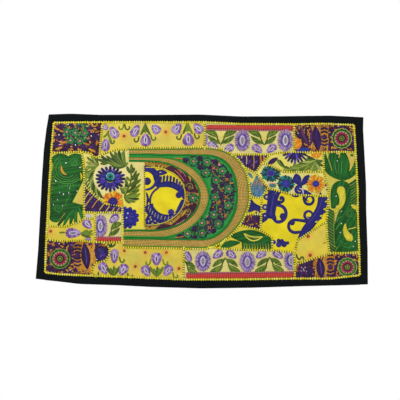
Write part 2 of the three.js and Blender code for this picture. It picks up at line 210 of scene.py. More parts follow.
# Seams of the patchwork, the same places as in the solids
seamPoints = {
    "topA": (-488, -27), "topB": (-331, -24), "topC": (-180, -23), "topD": (-4, -21), "topE": (109, -26),
    "topF": (282, -26), "topG": (382, -23), "topH": (474, -26),
    "rightA": (477, -115), "rightB": (480, -236), "rightC": (478, -331), "rightD": (479, -435),
    "rightE": (478, -503),
    "bottomA": (389, -514), "bottomB": (278, -515), "bottomC": (109, -519), "bottomD": (-66, -521),
    "bottomE": (-202, -516), "bottomF": (-351, -512), "bottomG": (-451, -508), "bottomH": (-494, -503),
    "leftA": (-495, -401), "leftB": (-495, -360), "leftC": (-494, -260), "leftD": (-492, -126),
    "cornerFoot": (-338, -136), "cornerNotch": (-352, -139), "cornerRise": (-370, -125),
    "greenTop": (-395, -121), "cornerMid": (-446, -124), "cornerSide": (-336, -80), "budsFoot": (-319, -125),
    "budsKnee": (-281, -113), "braidTopEnd": (-244, -114), "braidTopUnder": (-190, -118),
    "braidFootUnder": (-186, -382), "braidFootEnd": (-257, -382), "greenSide": (-387, -163),
    "plumTip": (-383, -230), "plumMid": (-350, -262), "plumTurn": (-314, -288), "plumEnd": (-261, -295),
    "plumHeel": (-260, -315), "scrapTop": (-346, -315), "scrapSide": (-381, -315), "scrapFoot": (-380, -335),
    "scrapHeel": (-345, -334), "budRise": (-394, -345), "budMid": (-437, -361), "asterFoot": (-343, -408),
    "asterHeel": (-257, -407), "asterMid": (-318, -408), "budRow": (-392, -404), "budRowEnd": (-455, -406),
    "scallopA": (-299, -424), "scallopB": (-296, -444), "scallopC": (-309, -465), "scallopD": (-340, -473),
    "scallopE": (-349, -488), "budsEdge": (-4, -112), "budsUnder": (-147, -113), "budsLow": (-250, -416),
    "budsLowEnd": (-66, -418), "asterLow": (0, -418), "asterRim": (43, -424), "asterRow": (109, -428),
    "asterTurn": (209, -429), "asterEnd": (277, -435), "dotsFoot": (279, -473),
    "rimTopUnder": (60, -134), "rimTop": (86, -126), "plumRow": (179, -125), "fernCorner": (205, -125),
    "asterTop": (224, -120), "asterTopEnd": (282, -117), "greenTopRight": (374, -117),
    "greenTopMid": (413, -114), "fernHeel": (179, -153), "fernDip": (200, -158), "fernSeam": (246, -181),
    "fernEnd": (375, -180), "plumFoot": (158, -184), "plumSide": (138, -174), "plumUnder": (106, -158),
    "tearUnder": (114, -205), "tearSide": (181, -211), "scrollTop": (199, -234), "tearHeel": (184, -250),
    "tearFoot": (177, -264), "tearLow": (126, -262), "scrollA": (236, -244), "scrollB": (267, -252),
    "scrollC": (299, -254), "scrollD": (388, -257), "greenBend": (388, -236), "greenDip": (386, -284),
    "dotsTop": (380, -338), "dotsSide": (381, -379), "dotsEnd": (387, -436), "dotsRow": (375, -443),
    "dotsMid": (343, -451), "dotsLow": (306, -464), "dotsLeft": (288, -396), "dotsHeel": (280, -427),
    "stripFoot": (175, -316), "stripUnder": (116, -317), "leafTop": (173, -366), "leafUnder": (92, -347),
    "leafShoulder": (209, -390),
}
patchSides = {
    "patch_corner_top_left": ("topA topB", "topB cornerSide cornerFoot",
                              "cornerFoot cornerNotch cornerRise greenTop cornerMid leftD", "leftD topA"),
    "patch_buds_top": ("topB topC topD", "topD budsEdge",
                       "budsEdge budsUnder braidTopEnd budsKnee budsFoot cornerFoot",
                       "cornerFoot cornerSide topB"),
    "patch_asters_top": ("topD topE topF", "topF asterTopEnd",
                         "asterTopEnd asterTop fernCorner plumRow rimTop rimTopUnder budsEdge",
                         "budsEdge topD"),
    "patch_corner_top_right": ("topF topG topH", "topH rightA",
                               "rightA greenTopMid greenTopRight asterTopEnd", "asterTopEnd topF"),
    "patch_green_left": ("leftD cornerMid greenTop", "greenTop greenSide plumTip scrapSide scrapFoot",
                         "scrapFoot budRise budMid leftB", "leftB leftC leftD"),
    "patch_buds_left": ("leftB budMid budRise scrapFoot scrapHeel", "scrapHeel asterFoot",
                        "asterFoot budRow budRowEnd leftA", "leftA leftB"),
    "patch_scrap_left": ("scrapSide scrapTop", "scrapTop scrapHeel", "scrapHeel scrapFoot",
                         "scrapFoot scrapSide"),
    "patch_corner_bottom_left": ("leftA budRowEnd budRow asterFoot asterMid",
                                 "asterMid scallopA scallopB scallopC scallopD scallopE bottomF",
                                 "bottomF bottomG bottomH", "bottomH leftA"),
    "patch_aster_left": ("scrapTop plumHeel", "plumHeel asterHeel", "asterHeel asterMid asterFoot",
                         "asterFoot scrapHeel scrapTop"),
    "patch_buds_bottom": ("asterMid asterHeel budsLow budsLowEnd", "budsLowEnd bottomD",
                          "bottomD bottomE bottomF",
                          "bottomF scallopE scallopD scallopC scallopB scallopA asterMid"),
    "patch_asters_bottom": ("budsLowEnd asterLow asterRim asterRow asterTurn asterEnd",
                            "asterEnd dotsFoot bottomB", "bottomB bottomC bottomD", "bottomD budsLowEnd"),
    "patch_corner_bottom_right": ("dotsFoot dotsLow dotsMid dotsRow dotsEnd rightD", "rightD rightE",
                                  "rightE bottomA bottomB", "bottomB dotsFoot"),
    "patch_dots_right": ("dotsLeft dotsTop", "dotsTop dotsSide dotsEnd",
                         "dotsEnd dotsRow dotsMid dotsLow dotsFoot", "dotsFoot asterEnd dotsHeel dotsLeft"),
    "patch_green_right": ("greenTopRight greenTopMid rightA", "rightA rightB rightC rightD", "rightD dotsEnd",
                          "dotsEnd dotsSide dotsTop greenDip scrollD greenBend fernEnd greenTopRight"),
    "patch_daisies_left": ("greenTop cornerRise cornerNotch cornerFoot budsFoot budsKnee "
                           "braidTopEnd braidTopUnder",
                           "braidTopUnder braidFootUnder", "braidFootUnder braidFootEnd",
                           "braidFootEnd plumHeel plumEnd plumTurn plumMid plumTip greenSide greenTop"),
    "patch_plum_left": ("plumTip plumMid plumTurn plumEnd", "plumEnd plumHeel", "plumHeel scrapTop scrapSide",
                        "scrapSide plumTip"),
    "patch_plum_right": ("rimTop plumRow fernCorner", "fernCorner fernHeel plumFoot",
                         "plumFoot plumSide plumUnder", "plumUnder rimTopUnder rimTop"),
    "patch_teardrop_right": ("plumUnder plumSide plumFoot", "plumFoot tearSide scrollTop tearHeel tearFoot",
                             "tearFoot tearLow", "tearLow tearUnder plumUnder"),
    "patch_fern_right": ("fernCorner asterTop asterTopEnd greenTopRight", "greenTopRight fernEnd",
                         "fernEnd fernSeam fernDip fernHeel", "fernHeel fernCorner"),
    "patch_sunflower_right": ("fernHeel fernDip fernSeam fernEnd", "fernEnd greenBend scrollD",
                              "scrollD scrollC scrollB scrollA scrollTop",
                              "scrollTop tearSide plumFoot fernHeel"),
    "patch_scrolls_right": ("tearFoot tearHeel scrollTop scrollA scrollB scrollC scrollD",
                            "scrollD greenDip dotsTop", "dotsTop dotsLeft dotsHeel asterEnd asterTurn",
                            "asterTurn leafShoulder leafTop stripFoot tearFoot"),
    "patch_scroll_strip": ("tearLow tearFoot", "tearFoot stripFoot", "stripFoot stripUnder",
                           "stripUnder tearLow"),
    "patch_plum_strip": ("stripUnder stripFoot", "stripFoot leafTop", "leafTop leafUnder",
                         "leafUnder stripUnder"),
    "patch_leaf_right": ("leafUnder leafTop leafShoulder", "leafShoulder asterTurn",
                         "asterTurn asterRow asterRim", "asterRim leafUnder"),
}


def placesOf(names):
    return np.array([seamPoints[name] for name in names.split()], float)


def outlineOf(name):
    # all places round a patch, side after side
    return np.concatenate([placesOf(side)[:-1] for side in patchSides[name]])


# Lines of the neckline, from the outside in: two legs and half a superellipse
necklineLines = {
    "rim": {"x": -8, "z": -265, "reach": 148, "rise": 162, "powers": (2.5, 1.7), "legs": (-108, -424)},
    "innerOfWideBraid": {"x": -9, "z": -263, "reach": 109, "rise": 134, "powers": (2.5, 1.9),
                         "legs": (-128, -396)},
    "outerOfSlimBraid": {"x": -144, "z": -264, "reach": 154, "rise": 127, "powers": (1.9, 1.9),
                         "legs": (-137, -390)},
    "innerOfSlimBraid": {"x": -176, "z": -260, "reach": 157, "rise": 110, "powers": (1.9, 2.1),
                         "legs": (-149, -371)},
    "oval": {"x": -176, "z": -262, "reach": 114, "rise": 95, "powers": (2.15, 2), "legs": (-167, -357)},
}
legEnds, ovalEnds = (-244, -257), (-193, -187)
# the oval's straight side, from its upper to its lower end
ovalSide = list(zip(ovalEnds, necklineLines["oval"]["legs"]))


def necklineLine(name, count, ends=legEnds):
    # |x|^n + |z|^n = 1 for the round end, with a straight leg to each side of the opening
    line = necklineLines[name]
    angle = np.linspace(math.pi / 2, -math.pi / 2, 181)
    power = 2 / np.where(angle >= 0, *line["powers"])
    x = line["x"] + line["reach"] * np.clip(np.cos(angle), 0, 1) ** power
    z = line["z"] + line["rise"] * np.sign(angle) * np.abs(np.sin(angle)) ** power
    points = np.r_[[[ends[0], line["legs"][0]]], np.stack([x, z], axis=1), [[ends[1], line["legs"][1]]]]
    return resample(points, count)


def insideNeckline(x, z):
    # 1 well inside the rim, 0 outside it, with a soft step 8 mm wide
    line = necklineLines["rim"]
    power = np.where(z >= line["z"], *line["powers"])
    across = np.clip(x - line["x"], 0, None) / line["reach"]
    size = (across ** power + (np.abs(z - line["z"]) / (line["rise"] - 3)) ** power) ** (1 / power)
    inRound = np.clip((1 - size) * line["reach"] / 8, 0, 1)
    # left of the oval, between the two legs, the patch below shows
    slim = necklineLines["innerOfSlimBraid"]
    leftOfOval = np.clip((ovalEnds[0] - x) / 3, 0, 1)
    betweenLegs = np.clip((slim["rise"] - 2 - np.abs(z - slim["z"])) / 3, 0, 1)
    return inRound * np.clip((x - legEnds[1]) / 8, 0, 1) * (1 - leftOfOval * betweenLegs)


# Patch cloths are stitched down at their seams and slightly puffed between them
patchCloth = {"cell": 4.2, "puff": 0.8, "puffReach": 5.0, "ripple": 0.22, "rippleReach": 16,
              "underNeckline": 0.9, "lowest": -0.75, "thickness": 0.7}


def patchRise(name, x, z):
    # how far a patch's face stands above its flat layer; edge is the distance to its nearest side
    corners = outlineOf(name)
    edge = np.full(x.shape, 1e3)
    for start, end in zip(corners, np.roll(corners, -1, axis=0)):
        side = end - start
        t = np.clip(((x - start[0]) * side[0] + (z - start[1]) * side[1]) / (side @ side), 0, 1)
        edge = np.minimum(edge, np.hypot(x - start[0] - t * side[0], z - start[1] - t * side[1]))
    puff = patchCloth["puff"] * (1 - 1.6 * np.exp(-edge / patchCloth["puffReach"]))
    ripple = patchCloth["ripple"] * (np.sin(x * 0.31 + 2 * np.sin(z * 0.09))
                                     + np.sin(z * 0.37 + 2 * np.sin(x * 0.07)))
    raised = puff + ripple * np.exp(-edge / patchCloth["rippleReach"])
    raised = raised - patchCloth["underNeckline"] * insideNeckline(x, z)
    return np.maximum(raised, patchCloth["lowest"]), edge


outerTop = [(-505, 0), (-432, 3), (-342, 0), (-181, 1), (-20, 4), (109, -1), (238, 0), (399, 4), (505, 0)]
outerRight = [(505, 0), (503, -41), (505, -123), (507, -219), (505, -299), (505, -425), (502, -531)]
outerBottom = [(-522, -523), (-450, -530), (-387, -537), (-263, -540), (-170, -544), (-15, -547), (140, -544),
               (295, -538), (419, -534), (502, -531)]
outerLeft = [(-505, 0), (-511, -50), (-516, -115), (-518, -212), (-518, -276), (-519, -434), (-522, -523)]


def onCloth(x, z, off, share=1.0):
    # points on the hanging cloth, off millimetres in front of the wall side
    y = -(standOff(x, z) + off - creaseDepth(x, z) * share)
    return np.stack([x, y, z], axis=-1)


def coonsGrid(top, rightSide, bottom, leftSide, cell):
    # Coons surface: blend of the two pairs of facing sides less the blend of the corners
    columns = int(max(lengthOf(top), lengthOf(bottom)) / cell) + 2
    rows = int(max(lengthOf(leftSide), lengthOf(rightSide)) / cell) + 2
    t, b = resample(top, columns)[None], resample(bottom, columns)[None]
    l, r = resample(leftSide, rows)[:, None], resample(rightSide, rows)[:, None]
    u, v = np.linspace(0, 1, columns)[None, :, None], np.linspace(0, 1, rows)[:, None, None]
    corners = (1 - u) * (1 - v) * t[:, :1] + u * (1 - v) * t[:, -1:]
    corners = corners + (1 - u) * v * b[:, :1] + u * v * b[:, -1:]
    return (1 - v) * t + v * b + (1 - u) * l + u * r - corners


# Embroidery: every stroke is a thin flattened dome along a line on the cloth
threadwork = {}
necklineRegions = {"neckline_field": ("innerOfWideBraid", "outerOfSlimBraid"),
                   "neckline_edging": ("innerOfSlimBraid", "oval"), "neckline_oval": ("oval", None)}


def insideOutline(points, outline):
    # crossing test of many points against one outline
    x, z = points[..., 0], points[..., 1]
    inside = np.zeros(x.shape, bool)
    for (x0, z0), (x1, z1) in zip(outline, np.roll(outline, -1, axis=0)):
        if z0 != z1:
            inside ^= ((z0 > z) != (z1 > z)) & (x < (x1 - x0) * (z - z0) / (z1 - z0) + x0)
    return inside


def onPiece(piece, points):
    # whether places lie on a patch, or on a part of the neckline, clear of its seams
    if piece in patchSides:
        middle = outlineOf(piece).mean(axis=0)
        shrunk = middle + (outlineOf(piece) - middle) * 0.985
        return insideOutline(points, shrunk) & (insideNeckline(points[..., 0], points[..., 1]) < 0.05)
    outer, inner = necklineRegions[piece]
    ends = legEnds if piece == "neckline_field" else ovalEnds
    inside = insideOutline(points, necklineLine(outer, 120, ends))
    return inside & ~insideOutline(points, necklineLine(inner, 120, ends)) if inner else inside


def cutToPiece(piece, paths, half, colours):
    # each stroke keeps its stretch from its first to its last place on the piece, found on a finer
    # division of the stroke, with its stations spaced anew
    stations, parts = paths.shape[1], 49

    def along(values, place):
        low = np.clip(np.floor(place).astype(int), 0, stations - 2)
        row, share = np.arange(len(values))[:, None], place - low
        share = share[..., None] if values.ndim == 3 else share
        return values[row, low] * (1 - share) + values[row, low + 1] * share

    fine = np.broadcast_to(np.linspace(0, stations - 1, parts), (len(paths), parts))
    inside = onPiece(piece, along(paths, fine))
    keep = inside.sum(axis=1) >= 4
    paths, half, colours, inside = paths[keep], half[keep], colours[keep], inside[keep]
    first = inside.argmax(axis=1)[:, None]
    last = parts - 1 - inside[:, ::-1].argmax(axis=1)[:, None]
    place = (first + (last - first) * np.linspace(0, 1, stations)[None]) * (stations - 1) / (parts - 1)
    return along(paths, place), along(half, place), along(colours, place)


def stitch(piece, paths, halfWidths, colours, rise=0.8, lift=0.0):
    # paths is strokes x stations x 2. Each station carries a ring of six points: a dome of the half width
    # and of the rise, and one point under the cloth. The rise falls off with the width towards the tips.
    paths = np.asarray(paths, float)
    if paths.ndim == 2:
        paths = paths[None]
    strokes, stations = paths.shape[:2]
    half = np.broadcast_to(np.asarray(halfWidths, float), (strokes, stations))
    colours = np.broadcast_to(np.asarray(colours, float), (strokes, stations, 3))
    if piece in patchSides or piece in necklineRegions:
        paths, half, colours = cutToPiece(piece, paths, half, colours)
        strokes = len(paths)
        if not strokes:
            return
    aside = leftOf(headings(paths))
    across = np.array([-1, -0.64, 0, 0.64, 1, 0])
    height = np.array([-0.25, 0.72, 1, 0.72, -0.25, -0.6])
    places = paths[:, :, None] + aside[:, :, None] * (half[..., None] * across)[..., None]
    fullness = np.sqrt(half / np.maximum(half.max(axis=1, keepdims=True), 1e-6))
    rise = np.broadcast_to(np.asarray(rise, float).reshape(-1, 1, 1), (strokes, 1, 1))
    off = lift + rise * fullness[..., None] * height
    x, z = places[..., 0], places[..., 1]
    base = layers["patch"] + 0.5 + (layers["neckline"] - layers["patch"] + 0.3) * insideNeckline(x, z)
    if piece in patchSides:
        base = layers["patch"] + 0.15 + patchRise(piece, x, z)[0]
    points = onCloth(x, z, base + off)
    shade = 1 - 0.34 * np.abs(across) ** 3  # thread ends turn away from the light at both edges
    tone = colours[:, :, None] * shade[None, None, :, None]
    steps = np.linalg.norm(np.diff(paths, axis=1), axis=2)
    laid = np.c_[np.zeros(strokes), np.cumsum(steps, axis=1)]
    uvs = np.stack([np.broadcast_to(laid[..., None], x.shape), half[..., None] * across], axis=-1) / 1000
    ring = np.arange(6)
    cell = np.arange(stations - 1)[:, None] * 6
    quads = np.stack([cell + ring, cell + 6 + ring, cell + 6 + (ring + 1) % 6, cell + (ring + 1) % 6],
                     axis=-1)
    first, last = 0, (stations - 1) * 6
    caps = np.array([[first, first + 1, first + 2, first + 5], [first + 2, first + 3, first + 4, first + 5],
                     [last + 5, last + 2, last + 1, last], [last + 5, last + 4, last + 3, last + 2]])
    faces = np.r_[quads.reshape(-1, 4), caps]
    faces = (faces[None] + (np.arange(strokes) * stations * 6)[:, None, None]).reshape(-1, 4)
    threadwork.setdefault(piece, []).append((points.reshape(-1, 3), faces, tone.reshape(-1, 3),
                                             uvs.reshape(-1, 2)))


def joinedStrokes(name, piece):
    # all strokes of a piece as one mesh
    points, faces, tone, uvs, start = [], [], [], [], 0
    for batch in threadwork.pop(piece):
        points.append(batch[0])
        faces.append(batch[1] + start)
        tone.append(batch[2])
        uvs.append(batch[3])
        start += len(batch[0])
    return addMesh(name, np.concatenate(points), np.concatenate(faces), np.clip(np.concatenate(tone), 0, 1),
                   np.concatenate(uvs))


# Materials
def addNode(material, kind, settings=None, links=None):
    # a node with its settings, by property, socket name or socket number, and its links from (node, output)
    node = material.node_tree.nodes.new(kind)
    for key, value in (settings or {}).items():
        if isinstance(key, int) or key in node.inputs:
            node.inputs[key].default_value = value
        else:
            setattr(node, key, value)
    for key, (source, output) in (links or {}).items():
        material.node_tree.links.new(source.outputs[output], node.inputs[key])
    return node


def newMaterial(name):
    # material with no nodes yet
    material = bpy.data.materials.new(name)
    material.use_nodes = True
    material.node_tree.nodes.clear()
    return material


def wavePitch(millimetres):
    return 0.3142 / (millimetres / 1000)  # wave texture scale that repeats at this pitch


def clothSurface(material, look, dye, tones, height, relief, sheenRoughness):
    # the dye times two tones, over a bump of the threads' height
    tone = addNode(material, "ShaderNodeMath", {"operation": "MULTIPLY"},
                   {0: (tones[0], "Result"), 1: (tones[1], "Result")})
    colour = addNode(material, "ShaderNodeVectorMath", {"operation": "SCALE"},
                     {0: dye, "Scale": (tone, "Value")})
    bump = addNode(material, "ShaderNodeBump", {"Strength": relief, "Distance": 0.0004}, {"Height": height})
    shader = addNode(material, "ShaderNodeBsdfPrincipled",
                     {"Roughness": look["roughness"], "Sheen Weight": look["sheen"],
                      "Sheen Roughness": sheenRoughness, "Specular IOR Level": look["gloss"]},
                     {"Base Color": (colour, "Vector"), "Normal": (bump, "Normal")})
    addNode(material, "ShaderNodeOutputMaterial", None, {"Surface": (shader, "BSDF")})
    return material


def wovenMaterial(name, look):
    # plain weave: two wave patterns crossing at the thread pitch, over a soft uneven dye
    material = newMaterial(name)
    kind = look.get("space", "Object")
    if kind == "UV":
        place = addNode(material, "ShaderNodeUVMap", {"uv_map": "thread"})
    else:
        place = addNode(material, "ShaderNodeTexCoord")
    spot = {"Vector": (place, kind)}
    threads = {"Scale": wavePitch(look["pitch"]), "Distortion": 0.6, "Detail": 1.0, "Detail Scale": 2.0}
    warp = addNode(material, "ShaderNodeTexWave", {"bands_direction": "X", **threads}, spot)
    weft = addNode(material, "ShaderNodeTexWave", {"bands_direction": "Y" if kind == "UV" else "Z",
                                                   **threads}, spot)
    weave = addNode(material, "ShaderNodeMath", {"operation": "MULTIPLY"},
                    {0: (warp, "Fac"), 1: (weft, "Fac")})
    mottle = addNode(material, "ShaderNodeTexNoise", {"Scale": look["mottleScale"], "Detail": 4.0}, spot)
    if look.get("colour"):
        dyed = addNode(material, "ShaderNodeRGB")
        dyed.outputs[0].default_value = [*linear(look["colour"]), 1]
    else:
        dyed = addNode(material, "ShaderNodeAttribute", {"attribute_name": "tint"})
    dye = (dyed, "Color")
    if look.get("net"):
        holes = addNode(material, "ShaderNodeMapRange", {"From Min": 0.12, "From Max": 0.3},
                        {"Value": (weave, "Value")})
        netted = addNode(material, "ShaderNodeMix", {"data_type": "RGBA", 6: [*linear(look["net"]), 1]},
                         {7: dye, 0: (holes, "Result")})
        dye = (netted, 2)
    darker = addNode(material, "ShaderNodeMapRange", {"From Min": 0.3, "From Max": 0.7,
                                                      "To Min": 1 - look["mottle"],
                                                      "To Max": 1 + look["mottle"]},
                     {"Value": (mottle, "Fac")})
    threadTone = addNode(material, "ShaderNodeMapRange", {"To Min": 1 - look["weave"],
                                                          "To Max": 1 + look["weave"]},
                         {"Value": (weave, "Value")})
    return clothSurface(material, look, dye, (darker, threadTone), (weave, "Value"), look["relief"], 0.5)


def threadMaterial(name, look):
    # laid threads: fine ridges across each stroke, which catch the light as one soft band
    material = newMaterial(name)
    place = addNode(material, "ShaderNodeUVMap", {"uv_map": "thread"})
    ridges = addNode(material, "ShaderNodeTexWave", {"bands_direction": look["direction"],
                                                     "Scale": wavePitch(look["pitch"]), "Distortion": 1.2,
                                                     "Detail": 1.0, "Detail Scale": 1.5},
                     {"Vector": (place, "UV")})
    spot = addNode(material, "ShaderNodeTexCoord")
    fading = addNode(material, "ShaderNodeTexNoise", {"Scale": 140.0, "Detail": 3.0},
                     {"Vector": (spot, "Object")})
    dyed = addNode(material, "ShaderNodeAttribute", {"attribute_name": "tint"})
    ridgeTone = addNode(material, "ShaderNodeMapRange", {"To Min": 1 - look["contrast"], "To Max": 1.06},
                        {"Value": (ridges, "Fac")})
    fadeTone = addNode(material, "ShaderNodeMapRange", {"From Min": 0.3, "From Max": 0.7, "To Min": 0.9,
                                                        "To Max": 1.1}, {"Value": (fading, "Fac")})
    return clothSurface(material, look, (dyed, "Color"), (ridgeTone, fadeTone), (ridges, "Fac"), 0.5, 0.35)


# Patch cloth is dyed plain cotton of about 20 threads a centimetre, drawn here at 1.6 mm so that it shows
patchCotton = wovenMaterial("dyedPlainCotton", {"pitch": 1.6, "mottleScale": 55.0, "mottle": 0.07,
                                                "weave": 0.07, "relief": 0.35, "roughness": 0.85,
                                                "sheen": 0.12, "gloss": 0.2})
# Border and back are dark twill, matt and slightly uneven from wear
darkCotton = wovenMaterial("darkCottonTwill", {"pitch": 1.3, "mottleScale": 18.0, "mottle": 0.16,
                                               "weave": 0.12, "relief": 0.35, "roughness": 0.95,
                                               "sheen": 0.04, "gloss": 0.1, "colour": "#101416"})
# The neckline's braid is a net of thick olive thread over tan cloth, 4.8 mm from thread to thread
nettedBraid = wovenMaterial("nettedCottonBraid", {"pitch": 4.8, "mottleScale": 60.0, "mottle": 0.12,
                                                  "weave": 0.25, "relief": 0.9, "roughness": 0.7,
                                                  "sheen": 0.04, "gloss": 0.2, "space": "UV",
                                                  "net": "#7C8A1E"})
# Stranded silk, laid in satin stitch across each petal; real threads are 0.4 mm apart, drawn at 1.2 mm
silkThread = threadMaterial("strandedSilk", {"pitch": 1.2, "direction": "X", "contrast": 0.26,
                                             "roughness": 0.5, "sheen": 0.05, "gloss": 0.3})
# Sequins are stamped from silvered plastic film
sequinFilm = newMaterial("silveredFilm")
filmShader = addNode(sequinFilm, "ShaderNodeBsdfPrincipled", {"Base Color": (0.86, 0.86, 0.88, 1),
                                                              "Metallic": 0.8, "Roughness": 0.25})
addNode(sequinFilm, "ShaderNodeOutputMaterial", None, {"Surface": (filmShader, "BSDF")})
# Thick soft yarn that is sewn over the seams
seamYarn = threadMaterial("softCottonYarn", {"pitch": 1.3, "direction": "Y", "contrast": 0.15,
                                             "roughness": 0.75, "sheen": 0.05, "gloss": 0.15})


def finishPiece(piece, material, nodes=(), thickness=None):
    # material and thickness, then its body, the solids it replaces and its material slot
    piece.data.materials.append(material)
    if thickness:
        sheet = piece.modifiers.new("cloth", "SOLIDIFY")
        sheet.thickness, sheet.offset = thickness / 1000, -1
        sheet.use_rim = True
    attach(piece, "root")
    if nodes:
        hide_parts(*nodes)
    return piece


shown = []

# Backing: one plain sheet behind everything, a little inside the border's outer edge
backingCloth = {"cell": 9, "inset": 1.6, "thickness": 0.9}


def makeBacking():
    # Coons surface of the four outer edges, drawn in by the inset, with shallow wrinkles
    grid = coonsGrid(outerTop, outerRight, outerBottom, outerLeft, backingCloth["cell"])
    grid = grid + backingCloth["inset"] * np.array([1, -1]) * np.stack(
        [np.linspace(1, -1, grid.shape[1])[None, :] * np.ones((grid.shape[0], 1)),
         np.linspace(1, -1, grid.shape[0])[:, None] * np.ones((1, grid.shape[1]))], axis=-1)
    wrinkle = 0.12 * np.sin(grid[..., 0] * 0.11 + np.sin(grid[..., 1] * 0.05) * 2)
    points = onCloth(grid[..., 0], grid[..., 1], layers["backing"] + wrinkle, share=0.6)
    rows, columns = grid.shape[:2]
    piece = addMesh("backing_cloth", points.reshape(-1, 3), gridFaces(rows, columns, turned=True))
    finishPiece(piece, darkCotton, ["backing"], backingCloth["thickness"])
    return piece


# Border strips: a flat C folded round the edge, puckered where it is sewn down
borderStrip = {"step": 4.5, "backFlap": 16, "edgeRound": 1.6, "edgeBulge": 0.9, "pucker": 0.45,
               "thickness": 0.8}


def borderSides():
    outer = {"top": outerTop, "right": outerRight, "bottom": outerBottom[::-1], "left": outerLeft}
    inner = {"top": placesOf("topA topB topC topD topE topF topG topH"),
             "right": placesOf("rightA rightB rightC rightD rightE"),
             "bottom": placesOf("bottomA bottomB bottomC bottomD bottomE bottomF bottomG bottomH"),
             "left": placesOf("leftA leftB leftC leftD")}
    topLeft, topRight = inner["top"][0], inner["top"][-1]
    lowRight, lowLeft = inner["right"][-1], inner["bottom"][-1]
    edge = lambda side, x: [x, np.interp(x, *np.array(sorted(outer[side])).T)]
    # each strip's outer and inner line, run so that the cloth lies to the right of the outer line
    top = (np.array([edge("top", x) for x in np.linspace(topLeft[0], topRight[0], 60)]), inner["top"])
    low = (np.array([edge("bottom", x) for x in np.linspace(lowRight[0], lowLeft[0], 60)]),
           np.r_[lowRight[None], inner["bottom"]])
    # the side strips run the whole height, so their inner lines go on past the corners
    side = (np.array(outerRight, float),
            np.r_[[[topRight[0], edge("top", topRight[0])[1]], topRight], inner["right"],
                  [[lowRight[0], edge("bottom", lowRight[0])[1]]]])
    left = (np.array(outerLeft[::-1], float),
            np.r_[[[lowLeft[0], edge("bottom", lowLeft[0])[1]], lowLeft], inner["left"],
                  [topLeft, [topLeft[0], edge("top", topLeft[0])[1]]]])
    return {"border_top": top, "border_right": side, "border_bottom": low, "border_left": left}


def makeBorder():
    # profile across the strip: back flap, round the edge, and over the front to the seam
    pieces = []
    for name, (outer, inner) in borderSides().items():
        length = lengthOf(outer)
        count = int(length / borderStrip["step"])
        outer, inner = resample(outer, count), resample(inner, count)
        inward = inner - outer
        width = np.linalg.norm(inward, axis=1, keepdims=True)
        inward = inward / width
        front = np.linspace(0, 1, 9)[1:]
        bend = np.radians([180, 140, 90, 40, 0])
        s = np.linspace(0, length, count)
        phases = random.uniform(0, 6.3, 4)
        ripple = (np.sin(s / 7.3 + phases[0]) + 0.8 * np.sin(s / 12.1 + phases[1])
                  + 0.9 * np.sin(s / 29 + phases[2]) + np.sin(s / 61 + phases[3]))[:, None] / 3
        mid, reach = (layers["flap"] + layers["patch"]) / 2, (layers["patch"] - layers["flap"]) / 2
        backIn = np.array([borderStrip["backFlap"], borderStrip["backFlap"] * 0.5])[None] + 0 * s[:, None]
        edgeRound = borderStrip["edgeRound"]
        roundIn = edgeRound - edgeRound * np.sin(bend)[None] + 0 * s[:, None]
        roundOff = mid + reach * np.cos(np.pi - bend)[None] + 0 * s[:, None]
        frontIn = edgeRound + (width - edgeRound) * front[None]
        frontOff = (layers["patch"] + borderStrip["edgeBulge"] * np.sin(np.pi * front[None]) ** 0.8
                    + borderStrip["pucker"] * ripple * (0.4 + front[None]) * (1 - 0.6 * front[None] ** 6))
        depth = np.c_[backIn, roundIn, frontIn]
        off = np.c_[np.full((count, 2), layers["flap"]) + 0.1 * ripple, roundOff, frontOff]
        places = outer[:, None] + inward[:, None] * depth[..., None]
        points = onCloth(places[..., 0], places[..., 1], off, share=0.7)
        rows, columns = points.shape[:2]
        piece = addMesh(name + "_cloth", points.reshape(-1, 3), gridFaces(rows, columns))
        finishPiece(piece, darkCotton, [name], borderStrip["thickness"])
        pieces.append(piece)
    return pieces


lookCamera()
backing = makeBacking()
shown += makeBorder()
print("backing and border done")

